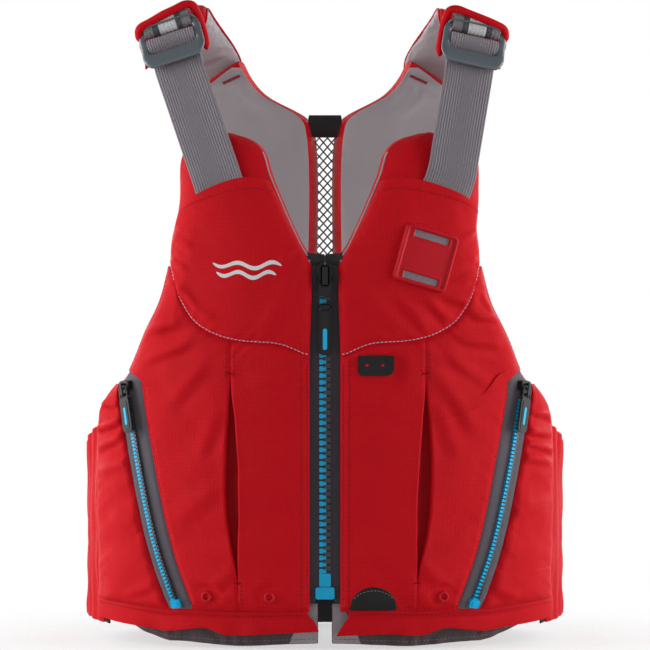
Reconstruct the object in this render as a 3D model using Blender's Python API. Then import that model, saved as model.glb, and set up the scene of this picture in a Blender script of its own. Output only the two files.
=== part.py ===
"""Front-zip paddling life jacket, standing as worn, with nobody in it.

Frame: +X is the wearer's left, -Y is the front, +Z is up, in metres. The origin is under the
middle of the jacket, level with its hems. Every layer is placed by how far it lies outside one
reference surface, the outer shell: an upright superellipse that closes in over the chest and back.
"""
import math

import bmesh
import bpy
from mathutils import Matrix, Vector

MM = 0.001

# ---- the reference surface ---------------------------------------------------------------------
HALF_WIDTH = 0.1955          # side to side, half
HALF_DEPTH = 0.1360          # front to back, half
DEPTH_SHIFT = 0.0032         # its middle is this far back, so the whole jacket's box is centred
ROUNDNESS = 2.3              # superellipse power: 2 is an ellipse
CHEST_START = 0.300          # the front closes in above this height
CHEST_CURVE = 3.4
BACK_START = 0.330           # the back closes in above this height
BACK_CURVE = 2.0
HEM_RISE = 0.0150            # the side hems are this much higher than the front and back hems
HEM_RISE_FROM = 0.130        # and rise from this distance off the middle
HEM_RISE_TOP = 0.060         # the rise dies out at this height

# ---- layers, millimetres outside the reference surface ------------------------------------------
LINING = (-29.4, -28.4)
FOAM_INNER = -27.6
FOAM_SKIN = -0.6
SHELL = (0.3, 1.1)
OVERLAY = (3.6, 5.1)         # yoke and pockets, over the shell
BADGE = (6.2, 8.4)           # the lash tab, moulded flat
CENTRE_TAPE = (-6.4, -5.6)
CENTRE_CHAIN = (-7.0, -4.0)
EDGE_TAPER = 0.022           # foam thins over this distance from its edges
EDGE_DROP = 9.0              # by this much, in millimetres
CENTRE_DROP = 3.0            # and by this much beside the centre zip

# ---- centre zip ---------------------------------------------------------------------------------
ZIP_EDGE = 0.0118            # shell edge beside the zip, off the middle
ZIP_FOOT = 0.0360
ZIP_HEAD = 0.3027
TAPE_NEAR = 0.0052           # tape edge, off the middle, beside the teeth
TAPE_NEAR_BOX = 0.0079       # and beside the retainer box
TAPE_FAR = 0.0165
CHAIN_X = (0.0009, 0.0046)
CHAIN_Z = (0.0588, 0.3000)
BOX_HALF = 0.0075
BOX_Z = (0.0380, 0.0475)
BOX_D = (-8.5, -3.2)         # millimetres outside the reference surface, like each _D below
BOX_BEVEL = 0.0006
PIN_HALF = 0.0048
PIN_TOP = 0.0583
SLIDER_HALF = 0.0070
SLIDER_Z = (0.2760, 0.3020)
SLIDER_FRONT_D = (-3.4, -1.9)
SLIDER_REAR_D = (-9.1, -7.6)
WEB_HALF = 0.0006            # the slider's web, between the two rows of teeth
WEB_HEIGHT = 0.0080
BRIDGE_HALF = 0.0032
BRIDGE_Z = (0.2840, 0.2872, 0.2965, 0.3000)      # foot and head of the slider's bridge
BRIDGE_D = (2.0, 3.6)
BAR_Z = 0.28975              # the puller's upper bar, in the slider's bridge
BAR_D = 0.15
LINK_DROP = 0.0225           # from the upper bar to the lower bar
LINK_X = (0.0042, 0.0058)
LINK_BAR = 0.0025
LINK_THICK = 1.5             # millimetres
TAB_RING = (0.0018, 0.0030)  # inner and outer radius of the pull tab's eye
TAB_RING_LENGTH = 0.0072
TAB_HALF = 0.0050
TAB_THICK = 2.2              # millimetres
PULL_TAB_FOOT = 0.2297

# ---- pocket zips --------------------------------------------------------------------------------
POCKET_TAPE_ACROSS = (-0.0145, 0, 0.0080)    # from its edge nearer the middle
POCKET_TAPE = (2.3, 2.9)     # millimetres outside the shell's own face
POCKET_CHAIN = (3.3, 5.6)
POCKET_CHAIN_HALF = 0.0026
POCKET_INSET = 0.0050        # pocket panels stop this far from the zip's middle
POCKET_FRONT_INSET = 0.0120  # the same for the panel nearer the middle
POCKET_CURVE = [(0.0286, 0.1144), (0.0757, 0.1308), (0.1300, 0.1430), (0.2055, 0.1556)]
POCKET_SLIDER_Z = 0.2020
POCKET_SLIDER_LOW_Z = 0.0480
POCKET_SLIDER_FACE = 0.0062  # slider plate's underside, outside the shell's own face
PLATE_HALF = (0.0050, 0.0070)
PLATE_THICK = 0.0012
LUG_HALF = 0.0016
LUG_Z = (0.0030, 0.0050)     # the lug's two feet, above and below its middle
LUG_FOOT = (0.0006, 0.0048)  # and how far they stand off the plate's underside
LUG_BAR = (0.0042, 0.0054)
PULLER_X = (0.0026, 0.0048)
PULLER_Z = (-0.0240, -0.0060, 0.0000, 0.0018)
PULLER_OFF = (0.0021, 0.0033)

# ---- lash tab -----------------------------------------------------------------------------------
LASH_AT = (0.0780, 0.3060)
LASH_WIDTH = 0.0450
LASH_HEIGHT = 0.0470
LASH_TURN = math.radians(-16)
LASH_COLUMNS = (0, 0.20, 0.80, 1)                # the slots' ends, as shares of the width
LASH_ROWS = (0, 0.085, 0.175, 0.825, 0.915, 1)

# ---- small things sewn or moulded on the front ---------------------------------------------------
TAB_AT = (0.0255, 0.2135)    # near and low corner of the rubber tab
TAB_SIZE = (0.0280, 0.0150)
TAB_D = (5.6, 7.0)
PATCH_AT = (0.0196, 0.0300)
PATCH_WIDTH = 0.0360
PATCH_HEIGHT = (0.0030, 0.0150)                  # its straight edge, then its round top
PATCH_D = (5.6, 6.4)
EYELETS = (("left", 1, 0.0916), ("right_outer", -1, 0.0916), ("right_inner", -1, 0.0430))
EYELET_Z = 0.0400
EYELET_D = 6.0
EYELET_RADII = (0.0025, 0.0045)
EYELET_LENGTH = 0.0012

# ---- back and sides -----------------------------------------------------------------------------
HEM_FACING = (-15.0, -13.0)
MESH = (-16.0, -14.5)
MESH_ACROSS = (0.0086, 0.0450, 0.0850, 0.1250, 0.1640)
MESH_UP = (0.0360, 0.1100, 0.1860, 0.2600, 0.3400, 0.4150)
MESH_FULL_ROWS = 2           # rows of the full-width part, under the back panels
NECK_Z = (0.4153, 0.4300)
NECK_D = (-19.0, -11.5)
WAISTBAND_FROM = 70.5        # degrees round from the front
WAISTBAND_Z = (0.0, 0.0175, 0.0350)
WAISTBAND_D = (-13.5, -11.5)
WAISTBAND_CELLS = 20
SIDE_PANEL_FROM = 69.8
SIDE_PANEL_TO = 123.4
SIDE_PANEL_Z = (0.0370, 0.0800, 0.1300, 0.1720)
SIDE_PANEL_D = (-4.0, -1.5)
SIDE_PANEL_CELLS = 7
SIDE_STRAP_FROM = 97.0
SIDE_STRAP_TO = 150.0
SIDE_STRAP_Z = (0.0900, 0.1150)
SIDE_STRAP_D = (-1.0, 0.6)
SIDE_STRAP_CELLS = 7
SIDE_BUCKLE_ANGLES = (104.0, 105.4, 107.2, 108.6, 111.0, 115.2)
SIDE_BUCKLE_Z = (0.0855, 0.0895, 0.1155, 0.1195)
SIDE_BUCKLE_D = (1.2, 4.2)

# ---- shoulders ----------------------------------------------------------------------------------
WEBBING = 0.0380
WEB_THICK = 0.0016
BUCKLE_AT = {-1: (0.1225, -0.0665, 0.4790), 1: (0.1190, -0.0672, 0.4762)}
STRAP_FOOT = {-1: (0.0920, 0.3710), 1: (0.1015, 0.3710)}
PAD_WIDTH = 0.0600
PAD_THICK = 0.0140
PAD_TILT = math.radians(22)
PAD_END_SHARE = 0.8          # the pad's ends are this much of its width
PAD_CROWN = (0.35, 0.5, 0.35)
PAD_PATH = (                 # inwards of the buckle, then back and up
    (0.0, -0.0560, 0.4660), (0.0, -0.0450, 0.4850), (0.0, -0.0280, 0.4940),
    (0.001, 0.0020, 0.4985), (0.004, 0.0360, 0.4960), (0.011, 0.0640, 0.4875),
    (0.019, 0.0800, 0.4765), (0.0225, 0.0860, 0.4685))
LOOP_START = ((-0.0140, 0.5070), (-0.0310, 0.5045))
LOOP_PATH = (                # millimetres down the strap from the buckle's centre, and out of it
    (-17.5, 3.6), (-12.0, 3.6), (-11.0, 0.6), (-11.0, -0.6), (-12.0, -3.6), (-18.0, -3.6))
STRAP_PATH = (
    (60.0, -0.8), (20.0, -3.1), (4.5, -3.1), (0.5, 0.0), (-1.5, 3.0), (-7.0, 3.0), (-8.6, 0.8),
    (-8.6, -0.8), (-7.2, -3.1), (-3.0, -5.4), (12.0, -5.4))
STRAP_YAW = math.radians(13)     # the straps turn a little towards the sides
LOCK_A = (-0.0250, -0.0200, 0.0200, 0.0250)
LOCK_S = (-16.5, -12.8, -6.8, -3.2, 6.0, 16.5)
LOCK_THICK = 3.5             # millimetres
LOCK_LIP = 0.8               # its lower edge turns out by this much
LOCK_TOP_S = -14.6           # the ladder-lock's upper bar, millimetres down from its centre
LOCK_BAR_S = -5.0            # and its middle bar

# ---- the line each front half swings about: top of the side seam to the shoulder buckle ---------
SEAM_X = 0.1830
SEAM_TOP = 0.1720

SIDES = {"left": 1, "right": -1}

COLOURS = {
    "red_nylon": ((0.58, 0.012, 0.022), 0.55, 0.0),
    "grey_lining": ((0.25, 0.22, 0.235), 0.50, 0.0),
    "foam": ((0.75, 0.74, 0.70), 0.90, 0.0),
    "grey_webbing": ((0.15, 0.13, 0.145), 0.65, 0.0),
    "striped_webbing": ((0.30, 0.29, 0.30), 0.60, 0.0),
    "taupe_nylon": ((0.07, 0.055, 0.058), 0.70, 0.0),
    "black_webbing": ((0.012, 0.012, 0.013), 0.75, 0.0),
    "black_mesh": ((0.010, 0.010, 0.011), 0.80, 0.0),
    "zip_tape": ((0.05, 0.045, 0.055), 0.80, 0.0),
    "blue_plastic": ((0.010, 0.36, 0.66), 0.35, 0.0),
    "black_plastic": ((0.012, 0.012, 0.012), 0.40, 0.0),
    "grey_plastic": ((0.15, 0.18, 0.20), 0.35, 0.0),
    "red_rubber": ((0.50, 0.010, 0.018), 0.50, 0.0),
    "black_rubber": ((0.015, 0.015, 0.015), 0.60, 0.0),
}


# ---- helpers ------------------------------------------------------------------------------------
def material(slot):
    """The Principled material of one slot, made the first time it is asked for."""
    found = bpy.data.materials.get(slot)
    if found:
        return found
    colour, roughness, metallic = COLOURS[slot]
    made = bpy.data.materials.new(slot)
    made.use_nodes = True
    shader = made.node_tree.nodes["Principled BSDF"]
    shader.inputs["Base Color"].default_value = (*colour, 1.0)
    shader.inputs["Roughness"].default_value = roughness
    shader.inputs["Metallic"].default_value = metallic
    return made


def outline(points):
    """A piecewise straight edge: distance off the middle as a function of height."""
    def at(z):
        if z <= points[0][0]:
            return points[0][1]
        for (z0, x0), (z1, x1) in zip(points, points[1:]):
            if z <= z1:
                return x0 + (x1 - x0) * (z - z0) / (z1 - z0)
        return points[-1][1]
    return at


def angle_at(x):
    """Degrees round from the front middle to distance x off the middle."""
    return math.degrees(math.asin(min(1.0, abs(x) / HALF_WIDTH) ** (ROUNDNESS / 2)))


def depth_at(z, front):
    """Half depth of the reference surface at one height."""
    start, curve = (CHEST_START, CHEST_CURVE) if front else (BACK_START, BACK_CURVE)
    return HALF_DEPTH - curve * max(0.0, z - start) ** 2


def surface(angle, z, out_mm):
    """A point out_mm outside the reference surface, angle degrees round from the front."""
    s, c = math.sin(math.radians(angle)), math.cos(math.radians(angle))
    depth = depth_at(z, c > 0)
    x = HALF_WIDTH * math.copysign(abs(s) ** (2 / ROUNDNESS), s)
    y = -depth * math.copysign(abs(c) ** (2 / ROUNDNESS), c)
    shifted = y + DEPTH_SHIFT
    nx = math.copysign(abs(x / HALF_WIDTH) ** (ROUNDNESS - 1) / HALF_WIDTH, x)
    ny = math.copysign(abs(y / depth) ** (ROUNDNESS - 1) / depth, y)
    size = math.hypot(nx, ny)
    rise = HEM_RISE * max(0.0, abs(x) - HEM_RISE_FROM) / (HALF_WIDTH - HEM_RISE_FROM)
    rise *= max(0.0, 1 - z / HEM_RISE_TOP)
    return Vector((x + nx / size * out_mm * MM, shifted + ny / size * out_mm * MM, z + rise))


def front(side, x, z, out_mm):
    """A point on the front, x off the middle, on one side."""
    p = surface(angle_at(x), z, out_mm)
    return Vector((side * p.x, p.y, p.z))


def back(side, x, z, out_mm):
    """A point on the back, x off the middle, on one side."""
    p = surface(180 - angle_at(x), z, out_mm)
    return Vector((side * p.x, p.y, p.z))


def finish(name, bm, slot, smooth=True):
    """Turn a bmesh into the named object, faces out."""
    bmesh.ops.remove_doubles(bm, verts=bm.verts, dist=1e-6)
    bmesh.ops.recalc_face_normals(bm, faces=bm.faces)
    mesh = bpy.data.meshes.new(name)
    bm.to_mesh(mesh)
    bm.free()
    made = bpy.data.objects.new(name, mesh)
    mesh.materials.append(material(slot))
    bpy.context.scene.collection.objects.link(made)
    if smooth:
        mesh.shade_smooth()
        mesh.set_sharp_from_angle(angle=math.radians(35))
    return made


def cell_mesh(bm, columns, rows, corner, holes=()):
    """Add a closed plate of grid cells to bm. corner(i, j, level) places each corner, level 0
    under and 1 over; holes lists the (column, row) cells left open."""
    verts = {}

    def vert(i, j, level):
        key = (i, j, level)
        if key not in verts:
            verts[key] = bm.verts.new(corner(i, j, level))
        return verts[key]

    def solid(i, j):
        return 0 <= i < columns and 0 <= j < rows and (i, j) not in holes

    for i in range(columns):
        for j in range(rows):
            if not solid(i, j):
                continue
            around = [(i, j), (i + 1, j), (i + 1, j + 1), (i, j + 1)]
            for a, b, c in ((0, 1, 2), (0, 2, 3)):
                bm.faces.new([vert(*around[k], 1) for k in (a, b, c)])
                bm.faces.new([vert(*around[k], 0) for k in (c, b, a)])
            beside = [(i, j - 1), (i + 1, j), (i, j + 1), (i - 1, j)]
            for k, neighbour in enumerate(beside):
                if not solid(*neighbour):
                    a, b = around[k], around[(k + 1) % 4]
                    bm.faces.new([vert(*a, 0), vert(*b, 0), vert(*b, 1), vert(*a, 1)])


def plate(name, columns, rows, corner, slot, holes=(), smooth=True):
    """A closed plate of grid cells, as an object."""
    bm = bmesh.new()
    cell_mesh(bm, columns, rows, corner, holes)
    return finish(name, bm, slot, smooth)


def panel(name, place, side, heights, near, far, steps, under, over, slot):
    """A fabric or foam panel between two edges. near(z) and far(z) are distances off the
    middle, steps the fractions between them; under(x, z) and over(x, z) are offsets in
    millimetres."""
    def corner(i, j, level):
        z = heights[j]
        x = near(z) + (far(z) - near(z)) * steps[i]
        return place(side, x, z, (over if level else under)(x, z))
    return plate(name, len(steps) - 1, len(heights) - 1, corner, slot)


def band(name, path, across, width, thick, slot):
    """A strap: a flat band of constant width whose middle line follows path."""
    across = across.normalized()
    offsets = []
    for k, p in enumerate(path):
        before = (p - path[k - 1]).normalized() if k else None
        after = (path[k + 1] - p).normalized() if k + 1 < len(path) else None
        along = ((before or after) + (after or before)).normalized()
        normal = across.cross(along).normalized()
        bend = normal.dot(across.cross(after or before).normalized())
        offsets.append(normal * thick / 2 / max(0.5, bend))

    def corner(i, j, level):
        side_step = across * width * (i - 0.5)
        return path[j] + side_step + offsets[j] * (1 if level else -1)
    return plate(name, 1, len(path) - 1, corner, slot)


def box(name, low, high, slot, place=Matrix.Identity(4), bevel=0.0):
    """A box between two corners, its edges bevelled."""
    low, high = Vector(low), Vector(high)
    bm = bmesh.new()
    for v in bmesh.ops.create_cube(bm, size=1.0)["verts"]:
        share = v.co + Vector((0.5, 0.5, 0.5))
        v.co = place @ (low + share * (high - low))
    if bevel:
        bmesh.ops.bevel(bm, geom=bm.edges, offset=bevel, segments=1, affect="EDGES")
    return finish(name, bm, slot)


def tube_ring(name, centre, axis, inner, outer, length, segments, slot):
    """A short tube round an axis."""
    turn = axis.to_track_quat("Z", "Y").to_matrix()
    bm = bmesh.new()
    rings = []
    for radius, height in ((inner, -1), (outer, -1), (outer, 1), (inner, 1)):
        ring = []
        for k in range(segments):
            a = 2 * math.pi * k / segments
            local = Vector((radius * math.cos(a), radius * math.sin(a), height * length / 2))
            ring.append(bm.verts.new(centre + turn @ local))
        rings.append(ring)
    for r in range(4):
        this, other = rings[r], rings[(r + 1) % 4]
        for k in range(segments):
            n = (k + 1) % segments
            bm.faces.new([this[k], this[n], other[n], other[k]])
    return finish(name, bm, slot)


def join(target, *others):
    """Boolean union of others into target; the others become hidden cutters."""
    for other in others:
        union = target.modifiers.new("join_" + other.name, "BOOLEAN")
        union.operation = "UNION"
        union.solver = "EXACT"
        union.object = other
        other.hide_render = True
        other.display_type = "WIRE"
    return target


def frame_of(origin, x_axis, z_axis):
    """A placing matrix with its x along x_axis and its z as near z_axis as it can be."""
    x_axis = x_axis.normalized()
    y_axis = z_axis.cross(x_axis).normalized()
    z_axis = x_axis.cross(y_axis)
    turn = Matrix((x_axis, y_axis, z_axis)).transposed().to_4x4()
    return Matrix.Translation(origin) @ turn


# ---- outlines of the front halves ---------------------------------------------------------------
WIDE_STEPS = (0, 0.05, 0.12, 0.24, 0.36, 0.48, 0.60, 0.70, 0.79, 0.88, 0.95, 1)
NARROW_STEPS = (0, 0.06, 0.16, 0.34, 0.54, 0.74, 0.90, 0.96, 1)
ONE_STEP = (0, 1)
FRONT_NEAR = outline([
    (ZIP_HEAD, ZIP_EDGE), (0.3176, 0.0197), (0.3710, 0.0435), (0.3910, 0.0500), (0.4070, 0.0737)])
FRONT_FAR = outline([
    (0.1820, SEAM_X), (0.1930, 0.1770), (0.2175, 0.1610), (0.2490, 0.1470), (0.2730, 0.1345),
    (0.3030, 0.1255), (0.3205, 0.1240), (0.3520, 0.1185), (0.3930, 0.1170), (0.4000, 0.1040),
    (0.4070, 0.0830)])
FRONT_HEIGHTS = [
    0.0300, 0.0450, 0.1000, 0.1500, 0.1820, 0.1930, 0.2055, 0.2175, 0.2490, 0.2730, 0.2880,
    0.3030, 0.3205, 0.3520, 0.3710, 0.3910, 0.4000, 0.4070]
SHELL_HEM = 0.0120
FRONT_TOP = 0.4120
FRONT_FOOT = 0.0200
FOAM_NEAR = 0.0170

BACK_GAP = 0.0092
BACK_NEAR = outline([
    (0.4230, BACK_GAP), (0.4320, 0.0220), (0.4480, 0.0520), (0.4610, 0.0620), (0.4740, 0.0690)])
BACK_FAR = outline([
    (0.1900, 0.1500), (0.2500, 0.1320), (0.3000, 0.1200), (0.3600, 0.1150), (0.4200, 0.1210),
    (0.4400, 0.1270), (0.4610, 0.0980), (0.4740, 0.0740)])
BACK_HEIGHTS = [
    0.1900, 0.2050, 0.2500, 0.3000, 0.3600, 0.4000, 0.4230, 0.4320, 0.4480, 0.4610, 0.4740]
BACK_TOP = 0.4800
BACK_FOOT = 0.1850


def fall(distance):
    """0 well inside a panel, rising to 1 at its edge."""
    return (1 - min(1.0, max(0.0, distance) / EDGE_TAPER)) ** 2


def front_puff(x, z):
    """How far the foam's face drops under the reference surface near the front's edges."""
    rim = fall(min(FRONT_FAR(z) - x, FRONT_TOP - z, z - FRONT_FOOT))
    neck = fall(x - FRONT_NEAR(z))
    drop = CENTRE_DROP + (EDGE_DROP - CENTRE_DROP) * min(1.0, max(0.0, z - ZIP_HEAD) / 0.030)
    return -max(EDGE_DROP * rim, drop * neck)


def back_puff(x, z):
    """The same for the back panels."""
    distance = min(BACK_FAR(z) - x, x - BACK_NEAR(z) + 0.004, BACK_TOP - z, z - BACK_FOOT)
    return -EDGE_DROP * fall(distance)


def flat(value):
    """The same offset all over."""
    return lambda x, z: value


def on_puff(puff, value):
    """An offset that follows the foam's face."""
    return lambda x, z: puff(x, z) + value


# ---- front halves -------------------------------------------------------------------------------
def front_half(tag, side):
    """Lining, foam and shell of one front half, with the facing inside its hem."""
    panel("front_lining_" + tag, front, side, FRONT_HEIGHTS, FRONT_NEAR, FRONT_FAR, WIDE_STEPS,
          flat(LINING[0]), flat(LINING[1]), "grey_lining")

    def foam_near(z):
        return max(FOAM_NEAR, FRONT_NEAR(z) + 0.001)
    panel("front_foam_" + tag, front, side, FRONT_HEIGHTS, foam_near, FRONT_FAR, WIDE_STEPS,
          flat(FOAM_INNER), on_puff(front_puff, FOAM_SKIN), "foam")
    panel("front_shell_" + tag, front, side, [SHELL_HEM] + FRONT_HEIGHTS, FRONT_NEAR, FRONT_FAR,
          WIDE_STEPS, on_puff(front_puff, SHELL[0]), on_puff(front_puff, SHELL[1]), "red_nylon")

    hem_near = outline([(0.0, 0.0040), (0.0270, 0.0160)])
    panel("hem_facing_" + tag, front, side, [0.0, 0.0130, 0.0270], hem_near, outline([(0.0, SEAM_X)]),
          WIDE_STEPS, flat(HEM_FACING[0]), flat(HEM_FACING[1]), "taupe_nylon")


def chest_yoke(tag, side):
    """The overlay across the chest, with the strap going in at its top."""
    near = outline([(ZIP_HEAD, 0.0135), (0.3176, 0.0225), (0.3680, 0.0450)])
    far = outline([
        (0.2285, 0.0170), (0.2361, 0.0350), (0.2392, 0.0666), (0.2447, 0.0861), (0.2549, 0.1018),
        (0.2745, 0.1135), (0.3027, 0.1200), (0.3205, 0.1195), (0.3370, 0.1160), (0.3560, 0.0970),
        (0.3680, 0.0500)])
    heights = [0.2285, 0.2361, 0.2392, 0.2447, 0.2549, 0.2745, 0.2880, 0.3027, 0.3205, 0.3370,
               0.3520, 0.3600, 0.3680]
    panel("chest_yoke_" + tag, front, side, heights, near, far, NARROW_STEPS,
          on_puff(front_puff, OVERLAY[0]), on_puff(front_puff, OVERLAY[1]), "red_nylon")


def pocket_line(z):
    """Distance of the pocket zip's middle off the jacket's middle."""
    return outline(POCKET_CURVE)(z)


def pocket(tag, side):
    """The two panels of the lower pocket, either side of its zip."""
    near = outline([
        (0.2265, 0.0135), (0.2331, 0.0350), (0.2362, 0.0666), (0.2417, 0.0861), (0.2519, 0.1018),
        (0.2715, 0.1135), (0.2905, 0.1185)])
    far = outline(
        [(z, x - POCKET_FRONT_INSET) for z, x in POCKET_CURVE]
        + [(0.2150, 0.1565), (0.2490, 0.1430), (0.2730, 0.1305), (0.2905, 0.1240)])
    heights = [0.0286, 0.0450, 0.0757, 0.1300, 0.1820, 0.1930, 0.2055, 0.2150, 0.2265, 0.2331,
               0.2362, 0.2417, 0.2519, 0.2715, 0.2905]
    panel("pocket_front_" + tag, front, side, heights, near, far, NARROW_STEPS,
          on_puff(front_puff, OVERLAY[0]), on_puff(front_puff, OVERLAY[1]), "red_nylon")

    side_near = outline([(z, x + POCKET_INSET) for z, x in POCKET_CURVE])
    side_far = outline([(0.1700, 0.1745), (0.2055, 0.1645)])
    side_heights = [0.0286, 0.0450, 0.0757, 0.1300, 0.1820, 0.1930, 0.2055]
    panel("pocket_side_" + tag, front, side, side_heights, side_near, side_far, (0, 0.3, 0.7, 1),
          on_puff(front_puff, OVERLAY[0]), on_puff(front_puff, OVERLAY[1]), "red_nylon")


def circle_centre(a, b, c):
    """Centre of the circle through three points."""
    axis = (b - a).cross(c - b).normalized()
    ab, bc = (a + b) / 2, (b + c) / 2
    across, along = axis.cross(b - a), axis.cross(c - b)
    step = ((bc - ab).dot(along.cross(axis))) / across.dot(along.cross(axis))
    return ab + across * step


def pocket_zip_point(side, z, out_mm):
    """A point on the pocket zip, out_mm outside the shell's own face."""
    x = pocket_line(z)
    return front(side, x, z, front_puff(x, z) + out_mm)


def pocket_zip(tag, side):
    """Tape and teeth of the curved pocket zip."""
    heights = [0.0300, 0.0450, 0.0757, 0.1000, 0.1300, 0.1500, 0.1820, 0.1930, 0.2055]

    def tape_corner(i, j, level):
        z = heights[j]
        x = pocket_line(z) + POCKET_TAPE_ACROSS[i]
        return front(side, x, z, front_puff(x, z) + POCKET_TAPE[level])
    plate("pocket_zip_tape_" + tag, 2, len(heights) - 1, tape_corner, "zip_tape")

    def chain_corner(i, j, level):
        z = heights[j] + (0.001 if j == 0 else 0.0)
        base = pocket_zip_point(side, z, 2.5)
        along = pocket_zip_point(side, z + 0.002, 2.5) - base
        across = along.cross(front(side, pocket_line(z), z, 10.0) - base).normalized()
        return pocket_zip_point(side, z, POCKET_CHAIN[level]) + across * POCKET_CHAIN_HALF * (2 * i - 1)
    plate("pocket_zip_teeth_" + tag, 1, len(heights) - 1, chain_corner, "blue_plastic")


def pocket_slider_frame(side):
    """The pocket slider's placing matrix: x across the zip, y out of it and z up along it."""
    at = pocket_zip_point(side, POCKET_SLIDER_Z, 0.0)
    below = pocket_zip_point(side, POCKET_SLIDER_Z - 0.02, 0.0)
    out = (pocket_zip_point(side, POCKET_SLIDER_Z, 1.0) - at).normalized()
    up = (at - below).normalized()
    return frame_of(at, out.cross(up), up)


def pocket_slider(tag, side):
    """Slider and puller at the head of the pocket zip."""
    place = pocket_slider_frame(side)
    face = POCKET_SLIDER_FACE
    half, height = PLATE_HALF
    near, far = LUG_Z
    body = box("pocket_slider_" + tag, (-half, face, -height), (half, face + PLATE_THICK, height),
               "black_plastic", place)
    lug_low = box("pocket_lug_low_" + tag, (-LUG_HALF, face + LUG_FOOT[0], -far),
                  (LUG_HALF, face + LUG_FOOT[1], -near), "black_plastic", place)
    lug_high = box("pocket_lug_high_" + tag, (-LUG_HALF, face + LUG_FOOT[0], near),
                   (LUG_HALF, face + LUG_FOOT[1], far), "black_plastic", place)
    lug_bar = box("pocket_lug_bar_" + tag, (-LUG_HALF, face + LUG_BAR[0], -far),
                  (LUG_HALF, face + LUG_BAR[1], far), "black_plastic", place)
    join(body, lug_low, lug_high, lug_bar)

    def corner(i, j, level):
        x = (-PULLER_X[1], -PULLER_X[0], PULLER_X[0], PULLER_X[1])[i]
        return place @ Vector((x, face + PULLER_OFF[level], PULLER_Z[j]))
    plate("pocket_puller_" + tag, 3, 3, corner, "black_plastic", holes=[(1, 1)])


# ---- centre zip ---------------------------------------------------------------------------------
def centre_zip(tag, side):
    """Tape and teeth of one side of the centre zip."""
    heights = [ZIP_FOOT, BOX_Z[1], BOX_Z[1] + 0.001, 0.1500, 0.2500, ZIP_HEAD]
    near = outline([(BOX_Z[1], TAPE_NEAR_BOX), (BOX_Z[1] + 0.001, TAPE_NEAR)])
    panel("centre_zip_tape_" + tag, front, side, heights, near, outline([(0.0, TAPE_FAR)]), ONE_STEP,
          flat(CENTRE_TAPE[0]), flat(CENTRE_TAPE[1]), "zip_tape")
    panel("centre_zip_teeth_" + tag, front, side, CHAIN_Z, outline([(0.0, CHAIN_X[0])]),
          outline([(0.0, CHAIN_X[1])]), ONE_STEP, flat(CENTRE_CHAIN[0]), flat(CENTRE_CHAIN[1]),
          "blue_plastic" if side < 0 else "black_plastic")


def front_y(out_mm):
    """Y of the front middle, out_mm outside the reference surface, below the chest curve."""
    return DEPTH_SHIFT - HALF_DEPTH - out_mm * MM


def centre_block(name, half, z, d, slot="black_plastic", bevel=0.0):
    """A box astride the jacket's middle, between two heights and two offsets."""
    return box(name, (-half, front_y(d[1]), z[0]), (half, front_y(d[0]), z[1]), slot, bevel=bevel)


def centre_fittings():
    """Slider, puller, pull tab, retainer box and pin of the centre zip."""
    foot_low, foot_high, head_low, head_high = BRIDGE_Z
    inside = SLIDER_FRONT_D[0] + 0.9         # where the web and bridge end, within the plates
    body = centre_block("main_slider", SLIDER_HALF, SLIDER_Z, SLIDER_FRONT_D)
    rear = centre_block("slider_rear", SLIDER_HALF, SLIDER_Z, SLIDER_REAR_D)
    web = centre_block("slider_web", WEB_HALF, (SLIDER_Z[1] - WEB_HEIGHT, SLIDER_Z[1]),
                       (SLIDER_REAR_D[0] + 0.6, inside))
    foot = centre_block("slider_bridge_foot", BRIDGE_HALF, (foot_low, foot_high),
                        (inside, BRIDGE_D[1]))
    head = centre_block("slider_bridge_head", BRIDGE_HALF, (head_low, head_high),
                        (inside, BRIDGE_D[1]))
    bar = centre_block("slider_bridge_bar", BRIDGE_HALF, (foot_low, head_high), BRIDGE_D)
    join(body, rear, web, foot, head, bar)

    def link_corner(i, j, level):
        x = (-LINK_X[1], -LINK_X[0], LINK_X[0], LINK_X[1])[i]
        z = BAR_Z - (LINK_DROP if j < 2 else 0.0) + LINK_BAR / 2 * (1 if j % 2 else -1)
        return Vector((x, front_y(BAR_D + LINK_THICK / 2 * (1 if level else -1)), z))
    plate("main_puller", 3, 3, link_corner, "black_plastic", holes=[(1, 1)], smooth=False)

    loop_z = BAR_Z - LINK_DROP
    loop = tube_ring("main_pull_tab", Vector((0, front_y(BAR_D), loop_z)), Vector((1, 0, 0)),
                     *TAB_RING, TAB_RING_LENGTH, 12, "black_plastic")
    paddle = centre_block("tab_paddle", TAB_HALF, (PULL_TAB_FOOT, loop_z - 0.0022),
                          (BAR_D - TAB_THICK / 2, BAR_D + TAB_THICK / 2))
    join(loop, paddle)

    centre_block("zip_retainer_box", BOX_HALF, BOX_Z, BOX_D, "blue_plastic", BOX_BEVEL)
    centre_block("zip_pin", PIN_HALF, (BOX_Z[1] + 0.0003, PIN_TOP), CENTRE_CHAIN, "blue_plastic")


# ---- things sewn on the front -------------------------------------------------------------------
def lash_tab():
    """The flat moulded tab with two lashing slots on the wearer's left breast."""
    x, z = LASH_AT
    middle = front(1, x, z, front_puff(x, z))
    out = (front(1, x, z, 10.0) - front(1, x, z, 0.0)).normalized()
    level = (front(1, x + 0.02, z, 0.0) - front(1, x - 0.02, z, 0.0)).normalized()
    up = out.cross(level)
    if up.z < 0:
        up = -up
    c, s = math.cos(LASH_TURN), math.sin(LASH_TURN)

    def corner(i, j, face):
        a = (LASH_COLUMNS[i] - 0.5) * LASH_WIDTH
        b = (LASH_ROWS[j] - 0.5) * LASH_HEIGHT
        return middle + level * (a * c - b * s) + up * (a * s + b * c) + out * BADGE[face] * MM
    plate("lash_tab", 3, 5, corner, "red_rubber", holes=[(1, 1), (1, 3)], smooth=False)


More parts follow.
